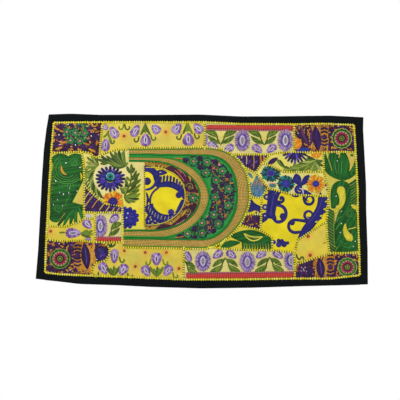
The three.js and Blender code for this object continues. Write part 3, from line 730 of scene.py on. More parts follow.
# Patch cloths: the ground colour, the material's slot, and washes. Each wash is a soft round stain of
# another colour: its middle and reach in the picture, its colour, and how strong it is
halo = "#E8A84A"
cornerPlaces = ("top_left", "top_right", "bottom_left", "bottom_right")
patchLooks = {
    **{"patch_corner_" + place: ("#45203A", "plum_cloth") for place in cornerPlaces},
    "patch_buds_top": ("#E3CF55", "straw_cloth", (124, 136.5, 6, halo, 0.9), (166, 132.5, 6, halo, 0.9),
                       (150, 128, 14, "#E8DB7A", 0.6), (197, 146, 9, "#DDB84C", 0.6),
                       (118, 150, 10, "#E8D23C", 0.7)),
    "patch_asters_top": ("#E6DA8C", "pale_cloth", (221, 138, 9, "#E2CF55", 0.7),
                         (264, 138, 9, "#E2CF55", 0.7)),
    "patch_green_left": ("#DDCF4A", "olive_cloth", (80, 200, 10, "#D8BE5A", 0.8),
                         (53, 178, 8, "#EDE050", 0.8)),
    "patch_buds_left": ("#E6CF48", "straw_cloth", (51.5, 231.5, 5, halo, 0.9)),
    "patch_scrap_left": ("#E6D98E", "straw_cloth"),
    "patch_aster_left": ("#E6DA8C", "pale_cloth"),
    "patch_buds_bottom": ("#E3CB4C", "straw_cloth", (124.5, 251, 5, halo, 0.9), (135.5, 266.5, 5, halo, 0.9),
                          (145.5, 252.5, 5, halo, 0.9), (166.5, 252.5, 5, halo, 0.9),
                          (179, 268.5, 5, halo, 0.9), (134, 256, 12, "#D5CC5E", 0.6),
                          (168, 266, 10, "#DDD05A", 0.6)),
    "patch_asters_bottom": ("#E4D784", "pale_cloth"),
    "patch_dots_right": ("#EFD648", "straw_cloth", (307.5, 236.5, 5, halo, 1), (309.5, 255, 6, halo, 1),
                         (293.5, 249, 5, halo, 1), (320, 238, 12, "#DCCB58", 0.6),
                         (302, 247, 8, "#D4CA58", 0.5)),
    "patch_green_right": ("#D9CB52", "olive_cloth", (349, 160, 8, "#DDBE5A", 0.9)),
    "patch_daisies_left": ("#EDE08A", "cream_cloth", (142, 217, 30, "#F4E02C", 1.0),
                           (138, 196, 18, "#F4E244", 0.9), (110, 176, 17, "#F3EDC0", 0.9),
                           (92, 160, 12, "#E8D84A", 0.7)),
    "patch_plum_left": ("#43205A", "plum_cloth"),
    "patch_plum_right": ("#43205A", "plum_cloth"),
    "patch_teardrop_right": ("#E0CE62", "cream_cloth"),
    "patch_fern_right": ("#EEE06A", "cream_cloth", (296, 158, 10, "#F1E9A0", 0.8)),
    "patch_sunflower_right": ("#EEE27A", "cream_cloth", (288, 186, 13, "#F2EDBC", 0.7),
                              (270, 176, 12, "#F2EDBC", 0.6)),
    "patch_scrolls_right": ("#F1DC22", "sun_cloth"),
    "patch_scroll_strip": ("#F1DC30", "sun_cloth"),
    "patch_plum_strip": ("#7A4428", "plum_cloth"),
    "patch_leaf_right": ("#E2CE3E", "olive_cloth"),
}


def clothTint(x, z, base, washes=()):
    # ground colour, blotched by slow waves of the place, then each wash laid over it as a bell curve
    blotch = 1 + 0.045 * (np.sin(x * 0.061 + 1.7 * np.sin(z * 0.043))
                          + np.sin(z * 0.087 + 1.3 * np.sin(x * 0.052)))
    tone = linear(base) * blotch[..., None]
    for middleX, middleZ, reach, colour, strength in washes:
        middle = fromPhoto([middleX, middleZ])
        away = ((x - middle[0]) ** 2 + (z - middle[1]) ** 2) / (reach * photoPixel * 0.75) ** 2
        share = (strength * np.exp(-away))[..., None]
        tone = tone * (1 - share) + linear(colour) * share
    return np.clip(tone, 0, 1)


def makePatch(name):
    # Coons surface between the patch's four sides, raised off its layer, with painted shade along the seams
    # where the cloth dips
    base, slot, *washes = patchLooks[name]
    top, rightSide, bottom, leftSide = [placesOf(side) for side in patchSides[name]]
    grid = coonsGrid(top, rightSide, bottom[::-1], leftSide[::-1], patchCloth["cell"])
    x, z = grid[..., 0], grid[..., 1]
    raised, edge = patchRise(name, x, z)
    off = layers["patch"] + raised
    # painted shade: the colour darkens within a few millimetres of each seam, where the cloth dips
    tone = clothTint(x, z, base, washes) * (1 - 0.25 * np.exp(-edge / 2.5))[..., None]
    rows, columns = grid.shape[:2]
    piece = addMesh(name + "_cloth", onCloth(x, z, off).reshape(-1, 3), gridFaces(rows, columns, turned=True),
                    tone.reshape(-1, 3))
    finishPiece(piece, patchCotton, [name], patchCloth["thickness"])
    return piece


shown += [makePatch(name) for name in patchSides]
print("patch cloths done")

# Neckline: two netted braids with a green field between them, an ochre edging and a yellow oval
necklineBands = {
    "neckline_wide_braid": {"lines": ("rim", "innerOfWideBraid"), "base": "#F0AC66", "slot": "braid",
                            "dome": 0.8},
    "neckline_field": {"lines": ("innerOfWideBraid", "outerOfSlimBraid"), "base": "#2C9A42",
                       "slot": "field_cloth", "dome": 0.4},
    "neckline_slim_braid": {"lines": ("outerOfSlimBraid", "innerOfSlimBraid"), "base": "#F0AC66",
                            "slot": "braid", "dome": 0.8},
    "neckline_edging": {"lines": ("innerOfSlimBraid", "oval"), "base": "#CDA23C", "slot": "plum_cloth",
                        "dome": 0.4, "ends": ovalEnds},
}


def makeBand(name):
    # ruled surface between two lines, domed across
    look = necklineBands[name]
    ends = look.get("ends", legEnds)
    columns, rows = 210, 14
    outer, inner = [necklineLine(line, columns, ends)[None] for line in look["lines"]]
    v = np.linspace(0, 1, rows)[:, None, None]
    grid = (1 - v) * outer + v * inner
    x, z = grid[..., 0], grid[..., 1]
    dome = look["dome"] * np.sin(np.pi * np.linspace(0, 1, rows))[:, None] ** 0.6
    ripple = 0.15 * np.sin(x * 0.33 + 2 * np.sin(z * 0.11)) + 0.15 * np.sin(z * 0.29 + x * 0.05)
    off = layers["neckline"] + dome + ripple - 0.5
    tone = clothTint(x, z, look["base"])
    # coordinates along and across the band, for the braid's net
    middle = grid[rows // 2]
    reached = np.r_[0, np.cumsum(np.linalg.norm(np.diff(middle, axis=0), axis=1))]
    width = np.linalg.norm(outer[0] - inner[0], axis=1)
    uvs = np.stack([np.broadcast_to(reached, x.shape), v[:, :, 0] * width], axis=-1) / 1000
    piece = addMesh(name + "_cloth", onCloth(x, z, off).reshape(-1, 3), gridFaces(rows, columns, turned=True),
                    tone.reshape(-1, 3), uvs.reshape(-1, 2))
    material = nettedBraid if look["slot"] == "braid" else patchCotton
    finishPiece(piece, material, [name], patchCloth["thickness"])
    return piece


def makeOval():
    # ruled surface from the oval's round end to its straight side, pressed down at its edge
    columns, rows = 110, 34
    arc = necklineLine("oval", columns, ovalEnds)[None]
    side = resample(ovalSide, columns)[None]
    v = np.linspace(0, 1, rows)[:, None, None]
    grid = (1 - v) * arc + v * side
    x, z = grid[..., 0], grid[..., 1]
    inward = np.cumsum(np.linalg.norm(np.diff(grid, axis=0), axis=2), axis=0)
    inward = np.r_[np.zeros((1, columns)), inward]
    edge = np.minimum(inward, inward[-1:] - inward)
    off = layers["neckline"] + 0.4 - 0.8 * np.exp(-edge / 5) + 0.15 * np.sin(x * 0.27) * np.sin(z * 0.23)
    tone = clothTint(x, z, "#F2DE22")
    piece = addMesh("neckline_oval_cloth", onCloth(x, z, off).reshape(-1, 3),
                    gridFaces(rows, columns, turned=True), tone.reshape(-1, 3))
    finishPiece(piece, patchCotton, ["neckline_oval"], patchCloth["thickness"])
    return piece


shown += [makeBand(name) for name in necklineBands] + [makeOval()]
print("neckline done")

# Embroidered motifs. Their places and sizes are in pixels of the photograph, 3.2 mm of cloth each.
silks = {
    "lavender": tints("#A882C2", "#8C64B0", "#BA9AD0", "#7C50A2"),
    "lilacWhite": tints("#E6DCF0", "#D9CBE8"),
    "ash": tints("#9C9098", "#A89CA0"),
    "slit": tints("#4E4458", "#5D5560"),
    "leaf": tints("#6B8A22", "#57761C", "#7C9A2C", "#4B6718"),
    "darkLeaf": tints("#3F5A1A", "#4E6B1E", "#2F4A18"),
    "aubergine": tints("#35104E", "#280B3E", "#451A62", "#2C0E46"),
    "maroon": tints("#470E34", "#360A2C", "#5A1640"),
    "plum": tints("#5A2560", "#4A1D50", "#6B2F66"),
    "ochre": tints("#D89020", "#E6A62E", "#CA7E18", "#E09C28"),
    "tan": tints("#C98E62", "#D49B6E"),
    "cream": tints("#EAD890", "#E0CC80"),
    "red": tints("#D4302E", "#DE4238", "#C62A30"),
    "coral": tints("#EE8468", "#E87460"),
    "crimson": tints("#A01E48", "#8E1A42"),
    "pink": tints("#E89098", "#EFA4A8"),
    "green": tints("#146C1B", "#0E5F17", "#1D7A23", "#0C5614"),
    "lightGreen": tints("#48983A", "#5AA846"),
    "mint": tints("#1E8A56", "#2A9C5E", "#167A4C"),
    "navy": tints("#24207E", "#1C1A6E", "#2E2A90", "#201C74"),
    "violet": tints("#4A35B0", "#3A2A9C", "#6A50C8"),
    "paleLeaf": tints("#A3B548", "#94A83C", "#B4C25C"),
    "teal": tints("#0E8580", "#0A6A6E", "#129388"),
    "darkTeal": tints("#0A3038", "#0C3E46"),
    "darkNavy": tints("#15134A", "#1C1450", "#241660"),
    "sand": tints("#E0B458", "#D8A048", "#E8C870"),
    "gold": tints("#D08C1C", "#C47E18", "#DC9C30"),
    "steel": tints("#5C8CB4", "#4E80A8", "#6A98BC"),
    "indigo": tints("#1C2090", "#181C80", "#2830A0"),
    "skyBlue": tints("#2A3FA8", "#243A94"),
    "tealGrey": tints("#4F8F96", "#3E7F88", "#6AA3A8"),
    "orange": tints("#FF9E12", "#FFB42A", "#FA8C06"),
    "amber": tints("#DE7208", "#E88414"),
    "yellow": tints("#F0DE2A", "#F4E64A"),
    "dot": tints("#B04A22", "#BC5A22"),
}


def pick(name, count):
    # a shade of this silk for each stroke, a little lighter or darker by turns
    shades = silks[name]
    return shades[random.integers(0, len(shades), count)] * random.uniform(0.9, 1.08, (count, 1))


def byTurns(silk, count):
    # a shade for each stroke, from one silk or from several by turns
    names = silk if isinstance(silk, tuple) else (silk,)
    return np.stack([pick(names[i % len(names)], 1)[0] for i in range(count)])


def petalShape(t, tip=0.6):
    # half width along a petal: half a sine wave from a narrow root, to a power that blunts its tip
    return np.clip(np.sin(np.pi * (0.125 + 0.875 * t) ** 0.9) ** tip, 0.08, 1)


def embroider(piece, paths, half, colours, rise=0.8, lift=0.0):
    # strokes whose places and half widths are in pixels of the photograph
    colours = np.asarray(colours, float)
    if colours.ndim == 2:
        colours = colours[:, None]
    stitch(piece, fromPhoto(paths), np.asarray(half, float) * photoPixel, colours, rise, lift)


def rays(piece, middle, inner, outer, count, half, silk, squash=(1, 1), spread=(0, 360), tip=0.6, turn=0,
         rise=0.9, lift=0.1, jitter=0.06):
    # petals as straight strokes from an inner to an outer radius, spread over an angle; 90 degrees is up
    full = abs(spread[1] - spread[0]) >= 359
    angle = np.radians(np.linspace(spread[0], spread[1], count + full)[:count] + turn)
    way = np.stack([np.cos(angle), -np.sin(angle)], axis=1) * squash
    t = 1 - (1 - np.linspace(0, 1, 6)) ** 1.5
    reach = (outer * random.uniform(1 - jitter, 1 + jitter, (count, 1)) - inner) * t + inner
    paths = np.asarray(middle, float) + way[:, None] * reach[..., None]
    embroider(piece, paths, petalShape(t, tip)[None] * half, byTurns(silk, count), rise, lift)


def blob(piece, middle, rx, ry, silk, angle=0, rise=0.9, lift=0.0):
    # oval pad: one stroke along its longer axis whose half width is that of an ellipse
    t = np.linspace(-1, 1, 9)
    turn = math.radians(angle)
    way = np.array([math.cos(turn), -math.sin(turn)])
    paths = np.asarray(middle, float) + way * (t * rx)[:, None]
    embroider(piece, paths[None], np.sqrt(np.clip(1.002 - t ** 2, 0, 1))[None] * ry, pick(silk, 1), rise,
              lift)


def blobs(piece, table, silk, rise=0.9, lift=0.1):
    # many round pads at once; columns: x, y, radius
    table = np.asarray(table, float)
    t = np.linspace(-1, 1, 7)
    paths = table[:, None, :2] + np.stack([t, 0 * t], axis=1)[None] * table[:, 2, None, None]
    half = np.sqrt(np.clip(1.01 - t ** 2, 0, 1))[None] * table[:, 2:3]
    embroider(piece, paths, half, pick(silk, len(table)), rise, lift)


def ring(piece, middle, radius, half, silk, squash=(1, 1), rise=0.9, lift=0.2):
    # closed round cord
    angle = np.linspace(0, 2 * math.pi, 33)
    paths = np.asarray(middle, float) + np.stack([np.cos(angle), np.sin(angle)], axis=1) * radius * squash
    embroider(piece, paths[None], np.full((1, 33), half), pick(silk, 1), rise, lift)


def vine(piece, points, half, silk, rise=0.9, lift=0.1, stations=16):
    # smooth stroke through given points; half is one width, or one for each point
    path = smoothLine(points, stations)
    widths = np.interp(np.linspace(0, 1, stations), np.linspace(0, 1, np.size(half)), np.atleast_1d(half))
    widths = widths * np.clip(np.sin(np.linspace(0.06, 0.94, stations) * np.pi) * 2.2, 0.25, 1)
    embroider(piece, path[None], widths[None], pick(silk, 1), rise, lift)


def vines(piece, routes, half, silk, rise=0.9, lift=0.1, stations=16):
    # several strokes of one kind
    for points in routes:
        vine(piece, points, half, silk, rise, lift, stations)


def spiral(piece, middle, radius, half, silk, start=0, turns=1.4, way=1, lift=0.2):
    # cord that winds inwards, its radius shrinking evenly
    t = np.linspace(0, 1, 24)
    angle = math.radians(start) + way * 2 * math.pi * turns * t
    coil = np.stack([np.cos(angle), -np.sin(angle)], axis=1) * (radius * (1 - 0.8 * t))[:, None]
    paths = np.asarray(middle, float) + coil
    embroider(piece, paths[None], (half * (1 - 0.35 * t))[None], pick(silk, 1), 0.9, lift)


def bud(piece, middle, angle, length=11.5, width=9.5):
    # lavender bud: short petals round an egg that is wider at its far end, a pale heart and a dark slit
    turn = math.radians(angle)
    axis, side = np.array([math.cos(turn), -math.sin(turn)]), np.array([math.sin(turn), math.cos(turn)])
    around = np.linspace(0, 2 * math.pi, 15)[:14]
    egg = 0.92 + 0.3 * np.cos(around)
    rim = axis * (np.cos(around) * length / 2)[:, None] + side * (np.sin(around) * egg * width / 2)[:, None]
    t = np.linspace(0.34, 1, 5)
    paths = np.asarray(middle, float) + rim[:, None] * t[None, :, None]
    embroider(piece, paths, np.array([0.7, 1, 1.1, 0.95, 0.5])[None] * width * 0.145, pick("lavender", 14),
              0.9, 0.1)
    for silk, long, wide, lift in (("lilacWhite", 0.33, 0.24, 0.5), ("slit", 0.21, 0.07, 1.1)):
        s = np.linspace(-1, 1, 7)
        heart = np.asarray(middle, float) + axis * (s * length * long)[:, None]
        embroider(piece, heart[None], np.sqrt(np.clip(1.03 - s ** 2, 0, 1))[None] * width * wide,
                  pick(silk, 1), 0.7, lift)


def lavenderDaisy(piece, middle, rx=7.6, ry=10.8, spread=(0, 360), count=26):
    # oval daisy: narrow petals with pale threads between them, a lilac white heart and a grey core
    rays(piece, middle, 0.42, 1.0, count, 0.8, "lavender", squash=(rx, ry), spread=spread, tip=0.4,
         jitter=0.04)
    rays(piece, middle, 0.6, 0.99, count, 0.26, "lilacWhite", squash=(rx, ry), spread=spread, tip=0.4,
         lift=0.75, jitter=0.08, turn=180 / count)
    rays(piece, middle, 0.4, 0.62, count, 0.36, "violet", squash=(rx, ry), spread=spread, tip=0.4, lift=0.7)
    blob(piece, middle, ry * 0.52, rx * 0.37, "lilacWhite", angle=90, rise=0.9, lift=0.9)
    blob(piece, middle, ry * 0.34, rx * 0.17, "ash", angle=90, rise=0.6, lift=1.7)


def fillShape(piece, outline, silk, angle=0, row=1.0, rise=0.9, lift=0.1, edge=0.5):
    # satin fill: parallel rows of thread from side to side of a closed smooth outline, then a line of
    # stem stitch round it; angle is the rows' direction
    loop = smoothLine(outline, 8 * len(outline), closed=True)
    turn = math.radians(angle)
    way, side = np.array([math.cos(turn), -math.sin(turn)]), np.array([math.sin(turn), math.cos(turn)])
    u, v = loop @ way, loop @ side
    nextU, nextV = np.roll(u, -1), np.roll(v, -1)
    spans = []
    for level in np.arange(v.min() + row / 2, v.max(), row):
        over = (v > level) != (nextV > level)
        cuts = np.sort(u[over] + (level - v[over]) / (nextV[over] - v[over]) * (nextU[over] - u[over]))
        spans += [(a, b, level) for a, b in zip(cuts[::2], cuts[1::2]) if b - a > 0.4]
    spans = np.array(spans)
    t = np.linspace(0, 1, 6)
    along = spans[:, :1] + (spans[:, 1:2] - spans[:, :1]) * t
    across = spans[:, 2:] + 0.12 * np.sin(along * 0.7 + spans[:, 2:] * 2.1)
    paths = along[..., None] * way + across[..., None] * side
    half = np.array([0.7, 1, 1, 1, 1, 0.7])[None] * row * 0.7
    embroider(piece, paths, half, pick(silk, len(spans)), rise, lift)
    if edge:
        index = (np.arange(0, len(loop), 4)[:, None] + np.arange(5)) % len(loop)
        embroider(piece, loop[index], np.full((len(index), 5), edge), pick(silk, len(index)), rise * 0.9,
                  lift + 0.1)


def arcPoints(middle, rx, ry, low, high, count=7):
    # points along an oval arc; 90 degrees is up
    angle = np.radians(np.linspace(low, high, count))
    return np.stack([middle[0] + rx * np.cos(angle), middle[1] - ry * np.sin(angle)], axis=1)


def bandOutline(route, halves, places=12):
    # closed outline of a band round a smooth middle line, its half widths spaced evenly along it
    line = smoothLine(route, places)
    half = np.interp(np.linspace(0, 1, places), np.linspace(0, 1, len(halves)), halves)[:, None]
    side = leftOf(headings(line)) * half
    return np.r_[line - side, (line + side)[::-1]]


def bowedLine(start, end, bend):
    # nine places from start to end, bowed to the left by a share of the distance
    start, end = np.asarray(start, float), np.asarray(end, float)
    reach = end - start
    t = np.linspace(0, 1, 9)[:, None]
    return t, start + reach * t + np.array([reach[1], -reach[0]]) * bend * 4 * t * (1 - t)


def leafOutline(base, tip, half, bend=0.0, widest=0.5):
    # closed leaf outline: half a sine wave on each side of a bowed rib, widest at a share of its length
    t, rib = bowedLine(base, tip, bend)
    ahead = rib[-1] - rib[0]
    side = np.array([ahead[1], -ahead[0]]) / np.linalg.norm(ahead)
    spread = np.sin(np.pi * t ** (math.log(0.5) / math.log(widest))) ** 0.8 * half * side
    return np.r_[rib + spread, (rib - spread)[-2:0:-1]]


def commaOutline(head, radius, tip, bend):
    # closed outline of a comma: a round head that narrows evenly along a bowed tail
    t, line = bowedLine(head, tip, bend)
    ahead = headings(line)
    side = leftOf(ahead) * radius * (1 - t) ** 0.7
    back = line[0] - ahead[0] * radius
    shoulders = [0.3 * (line[0] + turn * side[0]) + 0.7 * back - 0.3 * ahead[0] * radius for turn in (1, -1)]
    return np.r_[line - side, (line + side)[-2::-1], [shoulders[0], back, shoulders[1]]]


def frond(piece, base, tips, half, silk, bow=0.14, lift=0.15):
    # plump leaflets that part from one base, each bent a little to the side of its tip
    base, tips = np.asarray(base, float), np.asarray(tips, float)
    t = np.linspace(0, 1, 8)[None, :, None]
    reach = (tips - base)[:, None]
    aside = leftOf(reach) * np.sign(tips[:, :1, None] - base[0] + 1e-3)
    paths = base + reach * t + aside * bow * t * (1 - t) * 2
    width = np.array([0.35, 0.6, 0.85, 1, 1.05, 1, 0.8, 0.35])
    embroider(piece, paths, width[None] * half, byTurns(silk, len(tips)), 0.9, lift)


def hook(piece, base, way, size=4.0, silk="leaf"):
    # thin stem that ends in a small curl; way is 1 to the right and -1 to the left
    x, y = base
    points = [(x - way * size * 0.9, y - size), (x - way * size * 0.6, y + size * 0.35), (x, y + size * 0.7),
              (x + way * size * 0.55, y + size * 0.2), (x + way * size * 0.3, y - size * 0.35)]
    vine(piece, points, 0.8, silk)


def scatter(piece, spacing, length, width, mix, outline=None, lift=0.0, rise=0.7, keepOff=(), seed=5):
    # short curved strokes on a jittered grid inside an outline, by default the patch's own; mix gives the
    # share of each silk, and keepOff lists round places left bare: x, y, radius in pixels
    outline = outlineOf(piece) if outline is None else outline
    dice = np.random.default_rng(seed)
    low, high = outline.min(axis=0), outline.max(axis=0)
    nx, nz = (np.ceil((high - low) / spacing)).astype(int)
    grid = np.stack(np.meshgrid(np.arange(nx), np.arange(nz)), axis=-1).reshape(-1, 2) * spacing + low
    grid = grid + dice.uniform(0.1, 0.9, grid.shape) * spacing
    grid = grid[insideOutline(grid, outline)]
    for x, y, radius in keepOff:
        grid = grid[np.linalg.norm(grid - fromPhoto([x, y]), axis=1) > radius * photoPixel]
    count = len(grid)
    angle = dice.uniform(0, math.pi, count)
    bend = dice.uniform(-1.2, 1.2, count)
    t = np.linspace(-0.5, 0.5, 6)
    heading = angle[:, None] + bend[:, None] * t
    reach = length * dice.uniform(0.7, 1.25, (count, 1)) * t
    paths = grid[:, None] + np.stack([np.cos(heading), np.sin(heading)], axis=-1) * reach[..., None]
    names = list(mix)
    chosen = dice.choice(len(names), count, p=np.array([mix[n] for n in names]) / sum(mix.values()))
    colours = np.stack([silks[names[c]][dice.integers(0, len(silks[names[c]]))] for c in chosen])
    half = np.array([0.35, 0.85, 1, 1, 0.8, 0.3])[None] * width / 2 * dice.uniform(0.75, 1.2, (count, 1))
    stitch(piece, paths, half, colours[:, None] * dice.uniform(0.88, 1.1, (count, 1, 1)), rise, lift)


def rosette(piece, middle, size=1.0):
    # round flower: scalloped pale rim round a green ring, a crimson ring with pink dots, and a green eye
    middle = np.asarray(middle, float)
    rays(piece, middle, 5.4 * size, 10.2 * size, 14, 2.0 * size, ("lightGreen", "green"), tip=0.3)
    angle = np.linspace(0, 2 * math.pi, 85)
    around = np.stack([np.cos(angle), np.sin(angle)], axis=1)
    scallop = (9.3 + 0.7 * np.abs(np.sin(7 * angle))) * size
    embroider(piece, (middle + around * scallop[:, None])[None], np.full((1, 85), 0.42 * size),
              pick("paleLeaf", 1), 0.7, 0.9)
    ring(piece, middle, 8.2 * size, 0.75 * size, "green", lift=0.7)
    ring(piece, middle, 7.1 * size, 0.42 * size, "paleLeaf", lift=0.8)
    ring(piece, middle, 5.2 * size, 1.5 * size, "crimson", lift=0.6)
    beads = np.c_[around[::6][:14] * 6.3 * size + middle, np.full(14, 0.68 * size)]
    blobs(piece, beads, "pink", 0.6, 1.5)
    beads = np.c_[around[3::9][:9] * 4.4 * size + middle, np.full(9, 0.4 * size)]
    blobs(piece, beads, "plum", 0.6, 1.5)
    blob(piece, middle, 3.1 * size, 3.0 * size, "green", rise=0.8, lift=0.6)
    ring(piece, middle, 2.4 * size, 0.35 * size, "paleLeaf", lift=1.1)
    blob(piece, middle, 0.9 * size, 0.9 * size, "ochre", rise=0.6, lift=1.4)


def smallFlower(piece, spots, size=3.6):
    # round green flower with a dark outline and a pink eye
    for spot in spots:
        rays(piece, spot, size * 0.2, size * 1.18, 9, size * 0.42, "aubergine", tip=0.3, lift=0.0)
        rays(piece, spot, size * 0.25, size, 10, size * 0.34, ("mint", "green"), tip=0.3, lift=0.35)
        ring(piece, spot, size * 0.62, size * 0.09, "lightGreen", lift=1.0)
        blob(piece, spot, size * 0.34, size * 0.34, "crimson", rise=0.7, lift=1.0)
        blob(piece, spot, size * 0.25, size * 0.25, "pink", rise=0.7, lift=1.5)


def darkBlossom(piece, spots, size=2.7):
    # five short aubergine petals
    for i, spot in enumerate(spots):
        rays(piece, spot, 0.1, size, 5, size * 0.42, "aubergine", tip=0.35, turn=25 * i, rise=1.0, lift=0.2)


# Seam stitches: short thick yarns across each seam, over a flat cord that lies along it. The cord is
# olive between patches and bright yellow next to the border
seamStitch = {"pitch": 7.4, "length": 7.2, "width": 5.7, "rise": 1.7, "cordWidth": 5.0, "cordRise": 0.6,
              "yarns": ("#FFF23C", "#FFF97C", "#F8E628", "#FFF554"), "cord": "#7A6E16", "rimCord": "#D6C832"}


def seamEdges():
    # every pair of neighbouring seam points once; a pair that bounds one patch only lies at the border
    pairs = {}
    for sides in patchSides.values():
        for side in sides:
            names = side.split()
            for a, b in zip(names[:-1], names[1:]):
                pairs.setdefault(tuple(sorted((a, b))), []).append((seamPoints[a], seamPoints[b]))
    return [(found[0], "cord" if len(found) > 1 else "rimCord") for found in pairs.values()]


def sewSeam(line, cord):
    # one seam: the cord along it and yarns across it, each with its own small slant and shade
    line = np.asarray(line, float)
    length = lengthOf(line)
    count = max(2, int(round(length / seamStitch["pitch"])))
    middles = resample(line, 2 * count + 1)[1::2]
    along = headings(resample(line, 2 * count + 1))[1::2]
    outside = insideNeckline(middles[:, 0], middles[:, 1]) < 0.3
    if not outside.any():
        return
    middles, along = middles[outside], along[outside]
    slant = random.normal(0, 0.12, (len(middles), 1))
    across = leftOf(along) + along * slant
    size = random.uniform(0.85, 1.12, (len(middles), 1))
    reach = np.linspace(-0.5, 0.5, 5)[None, :, None] * seamStitch["length"] * size[:, :, None]
    paths = middles[:, None] + across[:, None] * reach
    half = np.array([0.45, 0.9, 1, 0.9, 0.45])[None] * seamStitch["width"] / 2 * size
    yarns = tints(*seamStitch["yarns"])[random.integers(0, 4, len(middles))]
    stitch("seams", paths, half, yarns[:, None] * random.uniform(0.9, 1.03, (len(middles), 1, 1)),
           rise=seamStitch["rise"], lift=0.2)
    cordLine = resample(line, max(4, int(length / 9)))
    keep = insideNeckline(cordLine[:, 0], cordLine[:, 1]) < 0.5
    if keep.sum() > 2:
        stitch("seams", cordLine[keep], seamStitch["cordWidth"] / 2, linear(seamStitch[cord]),
               rise=seamStitch["cordRise"], lift=0.0)


for edge, edgeCord in seamEdges():
    sewSeam(edge, edgeCord)
# the neckline's own edges: overcast along the rim, and a green cord along each line of the braids
rimLine = necklineLine("rim", 240)
greenCords = [("innerOfWideBraid", 0, 5.0, "#1F8A34"), ("outerOfSlimBraid", 0, 4.5, "#2C9C3A"),
              ("innerOfSlimBraid", 0, 6.0, "#1C8430"), ("rim", 5.4, 3.0, "#4A9A2C")]


def sewNeckline():
    # yellow yarns across the rim over an olive cord, dark knots at the oval, and green cords
    count = int(lengthOf(rimLine) / seamStitch["pitch"])
    line = resample(rimLine, 2 * count + 1)
    middles, along = line[1::2], headings(line)[1::2]
    across = leftOf(along) + along * random.normal(0, 0.1, (count, 1))
    reach = np.linspace(-0.5, 0.5, 5)[None, :, None] * seamStitch["length"]
    half = np.array([0.45, 0.9, 1, 0.9, 0.45])[None] * seamStitch["width"] / 2 * np.ones((count, 1))
    yarns = tints(*seamStitch["yarns"])[random.integers(0, 4, count)]
    stitch("necklineCords", middles[:, None] + across[:, None] * reach, half, yarns[:, None], rise=1.5,
           lift=0.6)
    stitch("necklineCords", resample(rimLine, 160), seamStitch["cordWidth"] / 2, linear(seamStitch["cord"]),
           rise=0.9, lift=0.3)
    # small dark knots along the oval's cut side
    knots = resample(ovalSide, 30) + [-2.5, 0]
    reach = np.linspace(-1.6, 1.6, 5)[None, :, None] * [1, 0]
    stitch("necklineCords", knots[:, None] + reach, np.full((30, 5), 1.5), linear("#5A5218"), rise=1.0,
           lift=-0.6)
    for name, inset, width, colour in greenCords:
        cord = necklineLine(name, 170)
        cord = cord - inset * leftOf(headings(cord))
        stitch("necklineCords", cord, width / 2, linear(colour), rise=1.3, lift=0.2)


sewNeckline()


# What is embroidered on each patch. Spots are read off the photograph, in its pixels.
def sewLavenderBuds():
    # bouquets of buds on the pale yellow strips; columns: x, y, the way the wide end points, length, width
    buds = {
        "patch_buds_top": ((114.2, 133, 300, 13, 9.5), (105.8, 145.4, 262, 13, 9.5),
                           (105.8, 127.6, 270, 6, 6), (135.6, 131.4, 240, 13.5, 9),
                           (156, 129.6, 315, 10.5, 9.5), (145.9, 140.6, 270, 13, 11),
                           (177, 129.2, 232, 12, 10), (198.2, 128.8, 312, 12, 10),
                           (188.3, 139.8, 270, 13, 12)),
        "patch_buds_bottom": ((104, 268.3, 118, 12.5, 10), (114.8, 256, 88, 14.5, 9),
                              (123.7, 269.6, 62, 12.5, 10), (156.7, 259, 90, 13, 11),
                              (146.4, 270.8, 122, 12, 9.5), (168, 270.4, 58, 12, 9.5)),
        "patch_buds_left": ((73.8, 233.2, 180, 15.5, 10.5), (87.8, 224.4, 130, 11, 9),
                            (88.4, 239.2, 0, 6, 3.4)),
    }
    for piece, table in buds.items():
        for x, y, angle, length, width in table:
            bud(piece, (x, y), angle, length, width)
    piece = "patch_buds_top"
    for x, y in ((145.5, 123.6), (187.6, 122.4)):
        frond(piece, (x, y), [(x - 4.8, y + 12), (x - 2.6, y + 9.6), (x, y + 10), (x + 2.6, y + 9.4),
                              (x + 5, y + 12)], 1.3, "leaf", 0.1)
    for x, y, way in ((136.3, 140, -1), (154, 138.4, 1), (178.6, 137.4, -1), (197.4, 136.6, 1),
                      (112.8, 141.6, 1), (121, 127.6, -1), (128, 127.8, 1)):
        hook(piece, (x, y), way, 3.4)
    vine(piece, [(107.5, 132), (109.4, 137), (112, 143)], 1.1, "leaf")
    vine(piece, [(103.6, 138), (107, 135), (109, 131)], 1.0, "leaf")
    blobs(piece, [(124.3, 136.5, 1.5), (165.8, 132.4, 1.6), (204, 145, 0.9)], "dot")
    piece = "patch_buds_bottom"
    for x, y in ((113.6, 276), (156.8, 276.5)):
        frond(piece, (x, y), [(x - 6.5, y - 10), (x - 2.6, y - 8), (x + 0.6, y - 10), (x + 3, y - 8),
                              (x + 6.6, y - 10)], 1.35, "leaf", 0.1)
    for x, y, way in ((122.8, 260, 1), (148, 262.4, -1), (166, 262.4, 1), (176, 275.6, 1), (96, 275, -1),
                      (131, 276, 1)):
        hook(piece, (x, y), way, 3.4)
    blobs(piece, [(124.7, 250.9, 1.4), (135.6, 266.5, 1.5), (145.5, 252.5, 1.5), (166.5, 252.5, 1.4),
                  (179, 268.5, 1.5)], "dot")
    frond(piece, (111, 247.5), [(108.5, 243.4), (111.5, 243), (116, 243.6)], 1.0, "darkLeaf")
    piece = "patch_buds_left"
    frond(piece, (81.5, 233.4), [(88, 230), (93, 230.6), (93.4, 234), (91, 237.4), (86, 236)], 1.3, "leaf")
    vine(piece, [(60, 232.8), (65.6, 232.6)], 0.9, "leaf")
    blobs(piece, [(51.4, 231.4, 1.5)], "dot")


